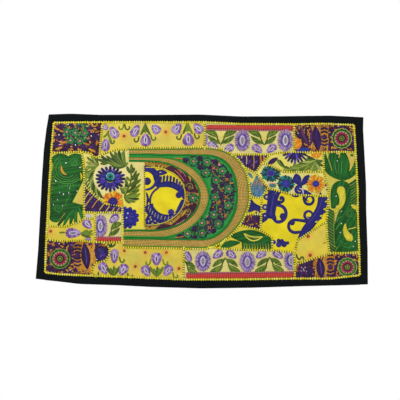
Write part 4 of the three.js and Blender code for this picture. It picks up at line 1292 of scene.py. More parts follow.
def redBand(piece, start, end, half=2.3, rose=1):
    # red ribbon with two rows of pink stitches across it and a rose cord along one side
    start, end = np.asarray(start, float), np.asarray(end, float)
    t = np.linspace(0, 1, 30)[:, None]
    embroider(piece, (start + (end - start) * t)[None], np.full((1, 30), half), silks["red"][:1], 0.8, 0.0)
    edge = (start + (end - start) * t + [0, rose * (half + 0.6)])[None]
    embroider(piece, edge, np.full((1, 30), 0.9), tints("#B8506C"), 0.7, 0.1)
    count = int(np.linalg.norm(end - start) / 2.1)
    share = (np.arange(count)[:, None] + 0.5) / count
    for level, silk in ((-0.45, "coral"), (0.45, "coral"), (rose * (1 + 0.6 / half), "pink")):
        spots = start + (end - start) * share + [0, level * half]
        paths = spots[:, None] + np.linspace(-0.7, 0.7, 4)[None, :, None] * [0.15, 0.9]
        embroider(piece, paths, np.full((count, 4), 0.3), pick(silk, count), 0.6, 0.7)


def sewLavenderDaisies():
    # columns: x, y, half width, half height, and the angles of a cut flower
    daisies = {
        "patch_asters_top": ((242.2, 141, 8.2, 11.4), (285, 141, 8.2, 11.4),
                             (203.5, 140, 4.6, 7, (-80, 80), 12)),
        "patch_asters_bottom": ((202.9, 261.3, 8.4, 10.6), (247.2, 262, 8.4, 10.6),
                                (290.5, 260.5, 7.6, 10.4, (80, 280), 18)),
        "patch_aster_left": ((100.8, 226.2, 7.4, 11.6),),
    }
    # base and tip of each leaf
    leaves = {
        "patch_asters_top": (((219.8, 143.4), (206, 132)), ((221.4, 143.4), (236, 132)),
                             ((263.2, 144), (248.6, 132)), ((264.8, 144), (277.4, 132))),
        "patch_asters_bottom": (((224.4, 259.4), (210.6, 271.4)), ((226, 259.4), (239.4, 271)),
                                ((268.6, 258.8), (255, 271)), ((270.2, 258.8), (283, 270.4)),
                                ((185.5, 262), (197, 272.4))),
        "patch_aster_left": (((109.6, 235.4), (121.6, 223.6)),),
    }
    sideBuds = {
        "patch_asters_top": ((213, 146, 150), (228.8, 149, 38), (257, 149.2, 142), (271.2, 149, 38)),
        "patch_asters_bottom": ((187.8, 256.6, 130), (217.6, 254.6, 38), (231.2, 254.6, 142),
                                (260.6, 254.4, 38), (277.6, 254.6, 142)),
        "patch_aster_left": ((114.4, 218.8, 42),),
    }
    redBand("patch_asters_top", (204.5, 127.3), (293, 128.2))
    redBand("patch_asters_bottom", (184, 276.4), (293.5, 275.2), 2.6, -1)
    redBand("patch_aster_left", (97, 239.8), (121.5, 239.9), 1.7, -1)
    for piece in daisies:
        for base, tip in leaves[piece]:
            lobedLeaf(piece, base, tip)
        for x, y, *shape in daisies[piece]:
            lavenderDaisy(piece, (x, y), *shape)
        for x, y, angle in sideBuds[piece]:
            bud(piece, (x, y), angle, 11.8, 8.4)


def lobedLeaf(piece, base, tip):
    # two bowed lobes from one stem, the one away from the buds broader and longer
    base, way = np.asarray(base, float), np.subtract(tip, base)
    bow = -np.sign(way[0] * way[1]) * 0.12
    lower = leafOutline(base, base + way * (0.84, 0.6), 1.8, -bow * 0.6)
    upper = leafOutline(base + way * (0.16, 0.5), base + way, 2.6, bow, 0.52)
    slant = math.degrees(math.atan2(-way[1], way[0])) + 40
    for outline in (lower, upper):
        fillShape(piece, outline, "leaf", slant, 1.0, 0.9, 0.1)
    vine(piece, [base + way * (0.2, 0.53), base + way * (0.55, 0.78), base + way * (0.9, 0.97)], 0.3,
         "paleLeaf", 0.6, 1.2, 8)
    vine(piece, [base + way * (-0.04, -0.14), base + way * (0.1, 0.2), base + way * (0.24, 0.56)], 0.6,
         "darkLeaf", 0.8, 0.4, 8)


def tallLeaf(piece, x, top, bottom, lean=1.5, half=4.0):
    # upright spindle leaf in aubergine with a violet rib
    fillShape(piece, leafOutline((x - lean, top), (x + lean, bottom), half), "aubergine", 70, 0.9, 1.1, 0.9)
    vine(piece, [(x - lean * 0.6, top + 3), (x + 0.4, (top + bottom) / 2), (x + lean * 0.6, bottom - 4)],
         0.35, "violet", 0.5, 2.0)


def crescents(piece, x, top, bottom, gap=3.4):
    # column of curved bars, aubergine and ochre by turns, that mirror each other above and below a round eye
    middle = (top + bottom) / 2
    for i, y in enumerate(np.arange(top, bottom, gap / 2)):
        sag = 1.5 if y < middle else -1.5
        if abs(y - middle) > 2.6:
            vine(piece, [(x - 3.8, y + sag), (x, y), (x + 3.8, y + sag)], 1.05 if i % 2 else 0.4,
                 "aubergine" if i % 2 else "ochre", 0.8, 1.0, 8)
    rays(piece, (x, middle), 0.2, 3.0, 9, 1.1, ("aubergine", "plum"), tip=0.4, lift=1.0)


# The corners have a dark ground with ochre and purple leaves strewn over it, and the main flowers on top
strewn = {"ochre": 3, "aubergine": 4, "maroon": 1.4, "plum": 0.6, "violet": 0.2}


def ochrePanel(piece, route, halves):
    fillShape(piece, bandOutline(route, halves), "ochre", 84, 1.3, 0.7, 0.2, 0)


def sewCornerTopLeft():
    # five green flowers in a green middle, with dark blossoms and gold leaves round them
    piece = "patch_corner_top_left"
    scatter(piece, 7.4, 13, 6.2, {"maroon": 4, "aubergine": 4, "ochre": 1.6, "pink": 0.4}, seed=3)
    middle = fromPhoto([(64.4, 125), (88, 124), (90, 133), (86, 145), (76, 144), (68, 144), (63.6, 136)])
    scatter(piece, 6.2, 11, 5.0, {"green": 4, "mint": 3, "maroon": 1.4, "paleLeaf": 0.9}, middle, lift=0.3,
            seed=4)
    darkBlossom(piece, [(59, 132.6), (59.6, 137.4), (56.6, 145.6), (67.2, 147.2), (76, 146.2), (84.6, 148.4),
                        (92.2, 137), (91.4, 128.8), (94, 146.8), (62.2, 126.8), (97.6, 137.6)], 3.7)
    # ochre leaves; columns: x, y, length, half width, angle
    leaves = (
        (57.6, 129.2, 6.6, 1.3, -25), (62.2, 131.4, 5, 1.2, -20), (64.2, 142.6, 7, 1.5, 8),
        (59.4, 148.6, 7.4, 1.6, 18), (54.2, 141, 4.4, 1.4, 60), (87.2, 144.4, 6.6, 1.4, -18),
        (92.4, 150.6, 7.6, 1.6, -22), (92.8, 130.8, 5.6, 1.2, -10), (97.6, 132, 5, 1.1, 15),
        (97.2, 143.4, 5.4, 1.3, 80), (94.4, 126.4, 6, 0.9, 0), (57.4, 124.8, 6, 1.0, 10),
        (88.8, 138.6, 3.6, 1.0, 0), (55, 135, 4, 1.1, 70), (71.6, 149.6, 5, 0.9, -8), (80, 150, 5, 0.9, 6),
    )
    for x, y, length, half, angle in leaves:
        a = math.radians(angle)
        reach = np.array([math.cos(a), -math.sin(a)]) * length / 2
        vine(piece, [(x, y) - reach, (x, y + 0.4), (x, y) + reach], (half * 0.5, half, half * 0.5), "gold",
             0.9, 0.8, 9)
    flowers = [(67.4, 132.4), (75.8, 133.4), (85.2, 133.8), (71, 141), (80.5, 141.4)]
    smallFlower(piece, flowers, 4.1)
    blobs(piece, [(82.8, 130.8, 0.7), (78.6, 140.2, 0.7), (89.4, 131, 0.9), (72, 128.6, 0.6),
                  (63.8, 129, 0.6)], "red", 0.6, 1.4)
    darkBlossom(piece, [(80.4, 127), (71.6, 126.4), (90.6, 139.4), (63, 138)], 2.4)


def sewCornerTopRight():
    # from the left: two leaves, a dark spray, a tall leaf, a column of bars and a rosette
    piece = "patch_corner_top_right"
    scatter(piece, 6.4, 12, 5.4, strewn, keepOff=[(341.2, 139, 9.5), (299, 146.5, 6)], seed=9)
    fillShape(piece, leafOutline((296, 138.4), (297, 149.8), 5.4, -0.06), "orange", 30, 1.0, lift=0.3)
    fillShape(piece, leafOutline((295.8, 152.4), (308.4, 149.8), 2.8), "skyBlue", 40, 1.0, lift=0.5)
    frond(piece, (309.6, 146), [(297, 129), (301, 128), (305.5, 127.6), (310.5, 128.6), (299, 135),
                                (304, 139), (311.4, 135)], 1.6, ("aubergine", "plum"), 0.16, 0.4)
    vine(piece, [(306.5, 130), (308.6, 134), (309, 140)], 0.5, "ochre", 0.6, 1.4)
    ochrePanel(piece, [(319.4, 126), (319.8, 139), (319.2, 152)], (8.2, 8, 8.4))
    tallLeaf(piece, 316.3, 127, 150.5)
    crescents(piece, 323.8, 127, 148.5)
    rosette(piece, (341.2, 138.9))


def sewCornerBottomLeft():
    # from the left: a rosette, a column of bars, a tall leaf and a dark flower
    piece = "patch_corner_bottom_left"
    scatter(piece, 6.4, 12, 5.4, strewn, keepOff=[(61, 259, 9.5), (102.7, 254.3, 7)], seed=12)
    rosette(piece, (60.9, 258.8))
    ochrePanel(piece, [(83.8, 242), (85, 257), (83, 273.6)], (9.6, 10.4, 9))
    crescents(piece, 78.2, 243.5, 268)
    tallLeaf(piece, 86.4, 243.6, 269)
    for x, y in ((93, 247), (94, 260), (92.5, 270)):
        vine(piece, [(x, y - 5), (x + 1.4, y), (x - 0.4, y + 5)], 1.5, "ochre", 0.8, 0.5)
    darkBlossom(piece, [(92.4, 243), (93.6, 265.6), (96.6, 271), (76, 270), (74.4, 243.6), (75, 256.6)], 2.7)
    rays(piece, (102.6, 254.3), 1.0, 7.4, 15, 1.9, ("aubergine", "navy"), tip=0.35, lift=0.5)
    rays(piece, (102.6, 254.3), 0, 3.4, 9, 1.0, ("violet", "aubergine"), tip=0.4, lift=1.2)


def sewCornerBottomRight():
    # from the left: a dark flower, a tall leaf, a column of bars and a rosette
    piece = "patch_corner_bottom_right"
    scatter(piece, 6.4, 12, 5.4, strewn, keepOff=[(346.5, 267.1, 9.5), (303.2, 269.5, 6.5)], seed=17)
    darkBlossom(piece, [(299, 276), (309, 262), (310.6, 271.6), (308, 277.6), (303, 262.6)], 4.2)
    rosette(piece, (346.5, 267.1), 0.93)
    rays(piece, (303.2, 269.6), 0.6, 6.6, 13, 1.8, ("aubergine", "plum"), tip=0.35, lift=0.5)
    blobs(piece, [(301.2, 267.6, 0.6), (304.6, 267.4, 0.6), (303.4, 270.6, 0.6), (300.8, 271, 0.5),
                  (305.8, 271.2, 0.5)], "lilacWhite", 0.5, 1.6)
    blob(piece, (314.4, 264), 2.7, 2.2, "ochre", 90, lift=0.9)
    ochrePanel(piece, [(324.4, 256.4), (324.2, 268), (322.6, 280.4)], (9.4, 9.4, 9.4))
    tallLeaf(piece, 320, 258.5, 278, 1.2, 3.8)
    crescents(piece, 329.6, 257, 277)


def sewPlumStrip():
    # aubergine blossoms and ochre dots on a mixed ground
    piece = "patch_plum_strip"
    scatter(piece, 5.4, 9, 4.4, {"aubergine": 5, "ochre": 1.3, "plum": 1.4}, seed=21)
    darkBlossom(piece, [(244.6, 224.6), (250, 221.5), (254.6, 226), (257.5, 220.4), (249.6, 227.6),
                        (256.8, 229), (254, 217)], 3)
    blobs(piece, [(252.3, 224.6, 1.0), (247, 221.4, 0.8), (256.4, 223.8, 0.8)], "ochre", 0.6, 1.1)


def sewPlumSlivers():
    # aubergine cloth with slanted lines, and the same with upright ones
    mix = {"aubergine": 6, "violet": 0.8}
    piece = "patch_plum_left"
    scatter(piece, 5.4, 12, 7.0, mix, seed=31)
    slanted = (
        (87, 196, 5), (89.5, 201, 8), (96, 203, 7.5), (102.2, 207, 5), (108, 209, 4), (113.6, 210, 3.6),
        (118.5, 210, 3.4),
    )
    for x, y, reach in slanted:
        vine(piece, [(x + reach * 0.5, y - reach * 0.66), (x, y), (x - reach * 0.5, y + reach * 0.74)], 0.6,
             "sand", 0.7, 0.8)
    piece = "patch_plum_right"
    scatter(piece, 5.4, 12, 7.0, mix, seed=33)
    upright = ((241.4, 159, 0.6), (246.2, 165, 0.5), (253.4, 169, 0.5), (260.4, 166, 1.1), (263.4, 162, 0.7),
               (267.6, 158, 0.5))
    for x, low, half in upright:
        vine(piece, [(x, 156), (x + 0.4, (156 + low) / 2), (x, low)], half, "ochre" if x > 256 else "sand",
             0.8, 0.7)
    blobs(piece, [(249.4, 161, 0.8), (256.8, 161.6, 0.8)], "violet", 0.6, 1.1)


def sewSmallDots():
    # rust dots and green twigs
    piece = "patch_dots_right"
    blobs(piece, [(307.6, 236.3, 1.7), (309.7, 255.3, 1.7), (293.7, 249, 1.5)], "dot")
    vines(piece, ([(296, 254), (297, 258), (300, 260)], [(299, 259.5), (302, 256.8), (303.4, 260)],
                  [(297, 262), (301, 262.6), (306, 261)]), 0.8, "darkLeaf", stations=10)
    vine(piece, [(322.5, 243.5), (325.5, 242.5)], 0.6, "ochre", stations=6)
    blob("patch_scrap_left", (88.8, 216.4), 2.7, 1.9, "lilacWhite", lift=0.1)


def sewDaisiesLeft():
    # a large daisy, a sunflower and a half flower among leaf sprays
    piece = "patch_daisies_left"
    # leaf sprays; columns: where they part, tips, half width, silks
    sprays = (
        ((126, 166.6), [(112, 166.4), (106.4, 161.4), (106.6, 156), (109.4, 151.6), (114.4, 151),
                        (119, 150.6), (124, 150.6), (129, 151.6)], 1.75, ("leaf", "leaf", "darkLeaf")),
        ((125.5, 167), [(111.4, 164.4), (108.4, 158.6), (112, 154.4), (117.4, 153), (122, 152.6), (127, 153)],
         0.6, "paleLeaf"),
        ((111, 161.6), [(100.6, 164), (97.6, 159.4), (100.4, 155.4)], 1.5, ("darkLeaf", "leaf", "darkLeaf")),
        ((99, 165.6), [(86.4, 166.6), (86.4, 162), (87.6, 157.4), (91.4, 154.6), (96.4, 155)], 1.35,
         ("leaf", "paleLeaf")),
        ((97.4, 166), [(86.6, 164.4), (88.4, 159), (93, 156.6)], 0.45, "cream"),
        ((91, 176), [(85.6, 168.6), (85.6, 173), (86.2, 178)], 1.0, ("leaf", "paleLeaf")),
        ((124.6, 197), [(139.6, 189.6), (140.6, 194), (139.4, 199), (135.6, 202.2), (130.6, 203.4)], 1.55,
         ("leaf", "leaf", "darkLeaf")),
        ((125, 197), [(139, 191.6), (139.6, 196.6), (137, 200.8), (133, 203)], 0.4, "paleLeaf"),
        ((126.6, 193.4), [(140.6, 184.6), (136.4, 183.6), (121.6, 191.4), (120.6, 187.8)], 1.5,
         ("leaf", "darkLeaf", "leaf", "leaf")),
        ((129, 187), [(141, 179.6), (138, 178), (125.4, 184.4), (126, 180)], 1.45,
         ("leaf", "leaf", "darkLeaf")),
        ((130.4, 181), [(139.6, 173.4), (136.6, 171), (126.8, 177)], 1.45, ("leaf", "darkLeaf", "leaf")),
        ((131, 174), [(134.6, 168), (131.4, 164.6), (127.4, 166.6)], 1.5, ("leaf", "leaf", "darkLeaf")),
    )
    for base, tips, half, silk in sprays:
        frond(piece, base, tips, half, silk)
    vine(piece, [(124.4, 198), (128.4, 189), (131.4, 180), (131, 169)], 0.8, "leaf", lift=0.3)
    vine(piece, [(123, 190), (126, 187.6), (126.4, 192), (124.6, 196)], 1.2, "paleLeaf")
    # long upright blades round the daisy; columns: root radius, tip radius, how far the tip is turned
    for row, (root, end, turn) in enumerate(((22.6, 17.2, 27), (28.4, 22.6, 20))):
        for i, angle in enumerate(range(166, 262, 8)):
            low, high = math.radians(angle), math.radians(angle - turn)
            start = np.array([111 + root * math.cos(low), 178 - root * math.sin(low)])
            tip = np.array([111 + end * math.cos(high), 178 - end * math.sin(high)])
            bow = (start + tip) / 2 + np.array([start[1] - tip[1], tip[0] - start[0]]) * -0.1
            vine(piece, [start, bow, tip], (0.5, 1.0, 0.6),
                 ("leaf", "paleLeaf", "leaf", "darkLeaf")[(i + row) % 4], 0.8, 0.15, 9)
    middle = (110.6, 179.2)
    rays(piece, middle, 5.2, 14.8, 20, 1.5, ("navy", "violet", "navy", "aubergine", "violet"), (1, 0.86),
         tip=0.15, lift=0.6)
    rays(piece, middle, 10.8, 14.6, 20, 1.0, ("darkNavy", "navy", "darkNavy"), (1, 0.86), tip=0.2, lift=1.3,
         jitter=0.02)
    rays(piece, middle, 5, 10, 9, 1.3, "violet", (1, 0.84), (150, 390), 0.3, lift=1.5)
    rays(piece, middle, 4.4, 9.6, 22, 1.1, "navy", squash=(1.0, 0.84), tip=0.5, turn=8, lift=1.1)
    middle = (110.8, 177.2)
    blob(piece, middle, 5.4, 5.2, "darkTeal", rise=0.9, lift=1.3)
    blob(piece, middle, 4.3, 4.2, "teal", rise=0.9, lift=1.8)
    embroider(piece, [[(107.8, 179), (107, 176), (108.8, 173.8), (111.6, 173.4), (114, 175), (114.6, 178),
                       (113, 180.4)]], np.full((1, 7), 0.5), tints("#8AE0CC"), 0.6, 2.6)
    blob(piece, middle, 1.4, 1.6, "darkTeal", rise=0.6, lift=2.5)
    middle = (113.4, 202.2)
    rays(piece, middle, 4.6, 10.8, 19, 1.75, ("orange", "yellow", "orange", "amber"), tip=0.2, lift=0.5)
    rays(piece, middle, 4.4, 8.4, 19, 1.4, ("orange", "amber"), tip=0.4, turn=9, lift=0.9)
    blob(piece, middle, 5.2, 5.0, "navy", rise=1.0, lift=1.5)
    ring(piece, middle, 3.2, 0.6, "violet", lift=2.2, squash=(1, 0.8))
    blob(piece, middle, 1.7, 1.4, "violet", rise=0.6, lift=2.3)
    # half flower with a scalloped edge, cut by the seam on its left
    fillShape(piece, arcPoints((126.6, 218), 10.6, 9, 0, 330, 12), "indigo", 80, 1.0, 1.1, 0.2)
    for spot in arcPoints((126.6, 218), 10.8, 9.2, 98, -98, 8):
        blob(piece, spot, 2.2, 2.1, "indigo", rise=1.0, lift=0.3)
    for turn in range(-60, 61, 24):
        a = math.radians(turn)
        vine(piece, [(127 + 2 * math.cos(a), 218 - 2 * math.sin(a)),
                     (127 + 7.6 * math.cos(a), 218 - 7.6 * math.sin(a))], 0.35, "violet", 0.5, 1.3,
             stations=6)
    blobs(piece, [(128.2, 213.6, 0.9), (127, 218, 0.8)], "lilacWhite", 0.5, 1.4)


def sewGreenLeft():
    # one large green ornament with two round lobes on top and a forked foot, then lighter lines on its forms
    piece = "patch_green_left"
    fillShape(piece, bandOutline([(68.6, 157.6), (68.8, 172), (64.8, 188), (60.6, 203), (54.4, 221)],
                                 (14.8, 16.2, 13.4, 9.4, 3.4)), "green", 8, 1.15, 1.0, 0.0)
    for x in (61, 76.4):
        fillShape(piece, arcPoints((x, 159.4), 8.2, 5, 0, 330, 12), "green", 8, 1.0, 1.0, 0.0)
    fillShape(piece, bandOutline([(60, 206), (71, 208), (83.4, 208.2)], (6.4, 5.6, 2.4)), "green", 8, 1.1,
              1.0, 0.1)
    frond(piece, (78, 206), [(57.4, 228), (64, 226.6), (70.8, 225.2), (76.6, 225.4), (82.4, 219.4)], 1.75,
          "green", -0.12, 0.3)
    vine(piece, arcPoints((75.2, 163), 4.6, 3.6, 0, 360, 12), 0.42, "lightGreen", 0.6, 0.9)
    for radius, low, high in ((7.5, 195, 335), (10.5, 190, 342), (13.2, 195, 338), (15.6, 205, 330)):
        vine(piece, arcPoints((67.5, 172), radius, radius * 0.78, low, high, 12), 0.42, "lightGreen", 0.6,
             0.9)
    for radius in (9, 12, 15):
        vine(piece, arcPoints((68.5, 170), radius, radius, 125, 200), 0.38, "lightGreen", 0.6, 0.9)
    spiral(piece, (75.2, 163), 3.2, 0.4, "lightGreen", 200, 1.4, 1, 0.9)
    vine(piece, arcPoints((68, 168), 6, 7, 165, 265, 5), (0.7, 1.5, 0.7), "ochre", 0.7, 1.0)
    vine(piece, [(80.6, 173), (82, 176.4), (81.4, 180.4)], (0.4, 1.0, 0.4), "yellow", 0.7, 1.0)
    for x in np.arange(60, 79, 2.7):
        vine(piece, [(x, 184.8), (x + 0.8, 187.6)], 0.42, "lightGreen", 0.5, 0.9, stations=6)
    for x, y in ((60, 193), (64, 194.6), (69, 193.4), (56, 181.4), (58, 200), (63, 206), (54, 205),
                 (70, 188.6)):
        vine(piece, [(x, y - 0.9), (x + 0.5, y + 0.9)], 0.4, "lilacWhite", 0.5, 1.0, stations=6)
    spiral(piece, (58.6, 208), 4.6, 0.38, "lightGreen", 20, 1.4, -1, 0.9)
    vine(piece, [(67, 190), (71, 194.4), (67.6, 200), (66, 207)], 0.4, "lightGreen", 0.6, 0.9)


def sewGreenRight():
    piece = "patch_green_right"
    # tulip: two broad petals between two narrow ones, all from one foot
    petals = (
        ((340.6, 180), (325, 154.6), 3.0, 0.18, 0.55, 65),
        ((339.6, 180), (330.6, 149), 5.6, 0.02, 0.5, 80),
        ((340.2, 180), (342, 149), 5.8, -0.07, 0.36, 80),
        ((341, 180.6), (355.6, 158.6), 2.7, -0.19, 0.5, 100),
    )
    for base, tip, half, bend, widest, angle in petals:
        fillShape(piece, leafOutline(base, tip, half, bend, widest), "green", angle, 1.0, 1.1, 0.2)
    blob(piece, (351.4, 155.6), 1.8, 1.3, "green")
    blob(piece, (337.4, 155.6), 1.0, 1.4, "plum", 90, lift=0.8)
    for x, sway in ((334.8, 1.2), (337.8, 0.4), (341, -0.4)):
        vine(piece, [(x - sway, 161), (x, 167), (x + sway, 174.4)], 0.36, "lightGreen", 0.5, 1.2)
    vine(piece, [(327.6, 159), (330, 166), (331.6, 171.6)], 0.7, "paleLeaf", 0.6, 1.1)
    vine(piece, [(353.4, 164), (352.4, 170), (349.4, 175.4)], 0.36, "lightGreen", 0.5, 1.2)
    # large body that ends above in a crook, with feathered sides
    fillShape(piece, bandOutline([(347.2, 203), (347, 214), (345.6, 228), (345.8, 240), (346.4, 251)],
                                 (4.6, 9.4, 11.4, 11.6, 10.8)), "green", 62, 1.15, 1.1, 0.0)
    bend = arcPoints((340.7, 191.8), 7.4, 8.2, 185, -10, 6)
    fillShape(piece, bandOutline(np.r_[[(332.8, 208)], bend, [(347, 211)]],
                                 (1.6, 2.7, 2.4, 2.3, 2.8, 3.6, 4.8), 20), "green", 70, 1.0, 1.1, 0.2)
    fillShape(piece, arcPoints((335, 199), 4.6, 6.4, 0, 330, 12), "green", 70, 1.0, 1.1, 0.3)
    for y in np.arange(180.5, 205, 2.9):
        vine(piece, [(348.6, y + 4), (352.4, y + 2.2), (356.6, y - 1.6)], 1.15, "green", 0.9, 0.2, stations=8)
        vine(piece, [(349.6, y + 5.4), (352.6, y + 3.6), (356, y + 0.6)], 0.3, "paleLeaf", 0.6, 1.3, 7)
    for y in np.arange(208.5, 250, 2.9):
        vine(piece, [(326.4, y), (329.4, y + 2), (334.2, y + 5)], 1.3, "green", 0.9, 0.2, stations=8)
        vine(piece, [(327.4, y + 1.6), (330, y + 3.4), (333.6, y + 6)], 0.3, "paleLeaf", 0.6, 1.2, 7)
    vine(piece, [(333.6, 214), (333.2, 228), (333.8, 246)], 0.3, "paleLeaf", 0.6, 0.9)
    # bare yellow commas in the crook and on the body
    fillShape(piece, commaOutline((340, 190.6), 3.5, (333.4, 213), 0.2), "yellow", 70, 0.9, 0.8, 1.4, 0.4)
    fillShape(piece, commaOutline((348.6, 237.8), 3.4, (344.6, 224), 0.14), "yellow", 70, 0.9, 0.8, 1.2, 0.4)
    fillShape(piece, leafOutline((350.4, 205.2), (357, 209.4), 1.7), "yellow", 10, 0.8, 0.8, 1.2, 0.3)
    vine(piece, [(347, 229.6), (352, 228.4), (355.4, 227.2)], 0.6, "yellow", 0.6, 1.3, 8)
    for radius in (1.8, 3.6):
        ring(piece, (349, 213.6), radius, 0.32, "lightGreen", lift=1.2)
    arcs = (((343, 224), 100, 170), ((342.4, 231.6), 90, 165), ((345, 236), 215, 275), ((347, 240), 215, 310),
            ((347.6, 223), -30, 50))
    for middle, low, high in arcs:
        vine(piece, arcPoints(middle, 7, 7.6, low, high, 5), 0.36, "lightGreen", 0.5, 1.1)


def sewLongLeaf():
    # long leaf with a combed lower edge, and a small one behind it
    piece = "patch_leaf_right"
    fillShape(piece, leafOutline((231, 236), (274, 244.2), 7.2, 0.05), "green", 12, 1.05, 1.0, 0.1)
    fillShape(piece, leafOutline((257, 242), (273.6, 238.6), 3, 0.08), "green", 12, 1.0, 1.0, 0.2)
    for bend, half in ((-0.3, 0.75), (-0.16, 0.3), (-0.1, 0.75)):
        vine(piece, bowedLine((243.6, 233.6), (262.6, 236.6), bend)[1][::2], half, "yellow" if half > 0.5
             else "paleLeaf", 0.6, 1.1)
    for x in np.arange(242, 273, 2.7):
        vine(piece, [(x, 242.4), (x + 0.8, 246), (x + 0.4, 249.8)], 1.0, "green", 0.9, 0.2, stations=8)
        vine(piece, [(x + 1.4, 243.4), (x + 2.1, 247)], 0.3, "paleLeaf", 0.6, 1.0, stations=6)
    fillShape(piece, leafOutline((219, 249), (239.6, 242.8), 2.9, 0.08), "green", 15, 0.95)


def sewFernPatch():
    # leaf sprays along one long leaf, and a navy and an orange half flower at the top seam
    piece = "patch_fern_right"
    sprays = (
        ((315, 160), [(306.6, 156.4), (303.6, 159.4), (301.4, 162.8)], 1.55,
         ("darkLeaf", "leaf", "paleLeaf")),
        ((308, 164), [(299, 163), (297, 166), (298, 169.6), (302.6, 172.4)], 1.3, ("leaf", "paleLeaf")),
        ((299, 167.4), [(292.6, 164.6), (289.6, 167), (290.4, 170.6), (295, 172.6)], 1.25,
         ("leaf", "paleLeaf")),
        ((290, 169.4), [(284.6, 166.6), (282.6, 169.6), (286, 172.6)], 1.2, ("leaf", "paleLeaf")),
        ((314.6, 161.6), [(304.4, 170), (308, 173.6), (312.4, 174.4), (316.8, 173.8), (320.6, 170.6),
                          (322.4, 166), (322, 161)], 1.6, ("leaf", "paleLeaf", "leaf")),
        ((314.6, 162.4), [(307, 169), (310.4, 171.6), (314.6, 172), (318.6, 169.6), (320, 165)], 0.4,
         "darkLeaf"),
        ((284.6, 168.2), [(276.4, 158.8), (279.4, 160.4)], 1.5, ("leaf", "darkLeaf")),
    )
    fillShape(piece, leafOutline((284, 170.4), (318.4, 160.4), 4.4, -0.06, 0.56), "leaf", 65, 1.5, 0.6, 0.0,
              0.2)
    for base, tips, half, silk in sprays:
        frond(piece, base, tips, half, silk, lift=0.5)
    vine(piece, [(317, 159.4), (306, 165.4), (296, 169), (284, 170)], 0.5, "paleLeaf", lift=1.4)
    middle = (294.6, 150.6)
    rays(piece, middle, 3.0, 13.8, 11, 1.2, ("navy", "darkNavy", "violet", "aubergine"), spread=(188, 352),
         tip=0.15, lift=0.9)
    rays(piece, middle, 9.8, 13.6, 11, 0.8, ("darkNavy", "navy", "violet"), spread=(188, 352), tip=0.2,
         lift=1.6, jitter=0.02)
    rays(piece, (316, 153.4), 0.4, 5.4, 9, 1.6, "orange", spread=(186, 354), tip=0.4, lift=0.5)
    fillShape(piece, leafOutline((267.6, 164.8), (276.8, 158.4), 1.9), "aubergine", 40, 0.9, 0.9, 0.3)


def tealDaisy(piece, middle, radius, flat=0.9):
    # teal petals in two rows round an indigo heart with a violet eye
    squash = (1, flat)
    blob(piece, middle, radius * 0.8, radius * 0.8 * flat, "darkTeal", rise=0.7, lift=0.1)
    rays(piece, middle, 2.6, radius, 13, 1.2, ("teal", "darkTeal", "teal"), squash, (75, 285), 0.15, lift=0.4)
    rays(piece, middle, 2.6, radius, 9, 1.2, ("darkTeal", "teal", "darkTeal"), squash, (-78, 65), 0.15,
         lift=0.4)
    rays(piece, middle, 2.0, radius * 0.66, 16, 1.0, ("darkTeal", "teal", "darkTeal"), squash, lift=0.9)
    blob(piece, middle, 4.7, 4.5 * flat, "indigo", rise=0.9, lift=1.3)
    ring(piece, middle, 3.3, 0.5, "violet", squash, lift=1.9)
    blob(piece, middle, 1.9, 1.8, "violet", rise=0.6, lift=2.1)


def sewSunflowerPatch():
    piece = "patch_sunflower_right"
    # two leaves spread from one foot over a rolled one
    for tip, half, bend in (((295.4, 174.6), 3.8, 0.08), ((308.4, 175.6), 2.8, -0.04)):
        fillShape(piece, leafOutline((300.4, 186), tip, half, bend, 0.6), "navy", 60, 0.95, 1.0, 0.3)
    fillShape(piece, bandOutline(np.r_[arcPoints((300.4, 189.8), 3.4, 2.8, 80, 260, 5),
                                       [(305, 193), (310.6, 194.8)]], (1.6, 2.6, 2.8, 2.2, 0.6)), "navy", 120,
              0.95, 1.0, 0.3)
    vine(piece, [(298.6, 188.4), (301.2, 189.6), (302.6, 191.6), (302.6, 194.6)], (0.5, 0.9, 0.6),
         "lilacWhite", 0.6, 1.2)
    vine(piece, [(297, 190.6), (298.6, 192), (300.4, 191.8)], 0.5, "yellow", 0.6, 1.2, 8)
    vines(piece, ([(296, 179), (298.4, 181.6), (301, 180.6)], [(297, 187.6), (296.6, 190.6), (299, 192.6)]),
          0.4, "violet", 0.5, 1.3)
    tealDaisy(piece, (270.4, 173.8), 10, 0.86)
    tealDaisy(piece, (285.5, 184), 8.8, 0.98)
    middle = (315.3, 184.2)
    rays(piece, middle, 3.4, 9.6, 18, 1.55, ("orange", "yellow", "orange"), tip=0.2, lift=0.5)
    rays(piece, middle, 3.2, 7.4, 18, 1.25, ("orange", "amber"), tip=0.4, turn=10, lift=0.9)
    blob(piece, middle, 3.9, 3.8, "navy", rise=1.0, lift=1.2)
    blob(piece, middle, 2.2, 2.2, "skyBlue", rise=0.7, lift=2.0)
    blobs(piece, [(325, 181, 1.3), (325.8, 185.6, 1.3), (326.6, 190, 1.0), (320, 194, 1.2)], "aubergine")
    blob(piece, (272.4, 186), 3.8, 1.6, "tealGrey")
    vine(piece, [(268, 184.6), (272, 183.8), (276, 184.4)], 0.6, "pink", 0.7, 0.3, 8)
    vine(piece, [(268.4, 187.8), (272, 188.2), (276, 187.6)], 0.4, "paleLeaf", 0.7, 0.4, 8)


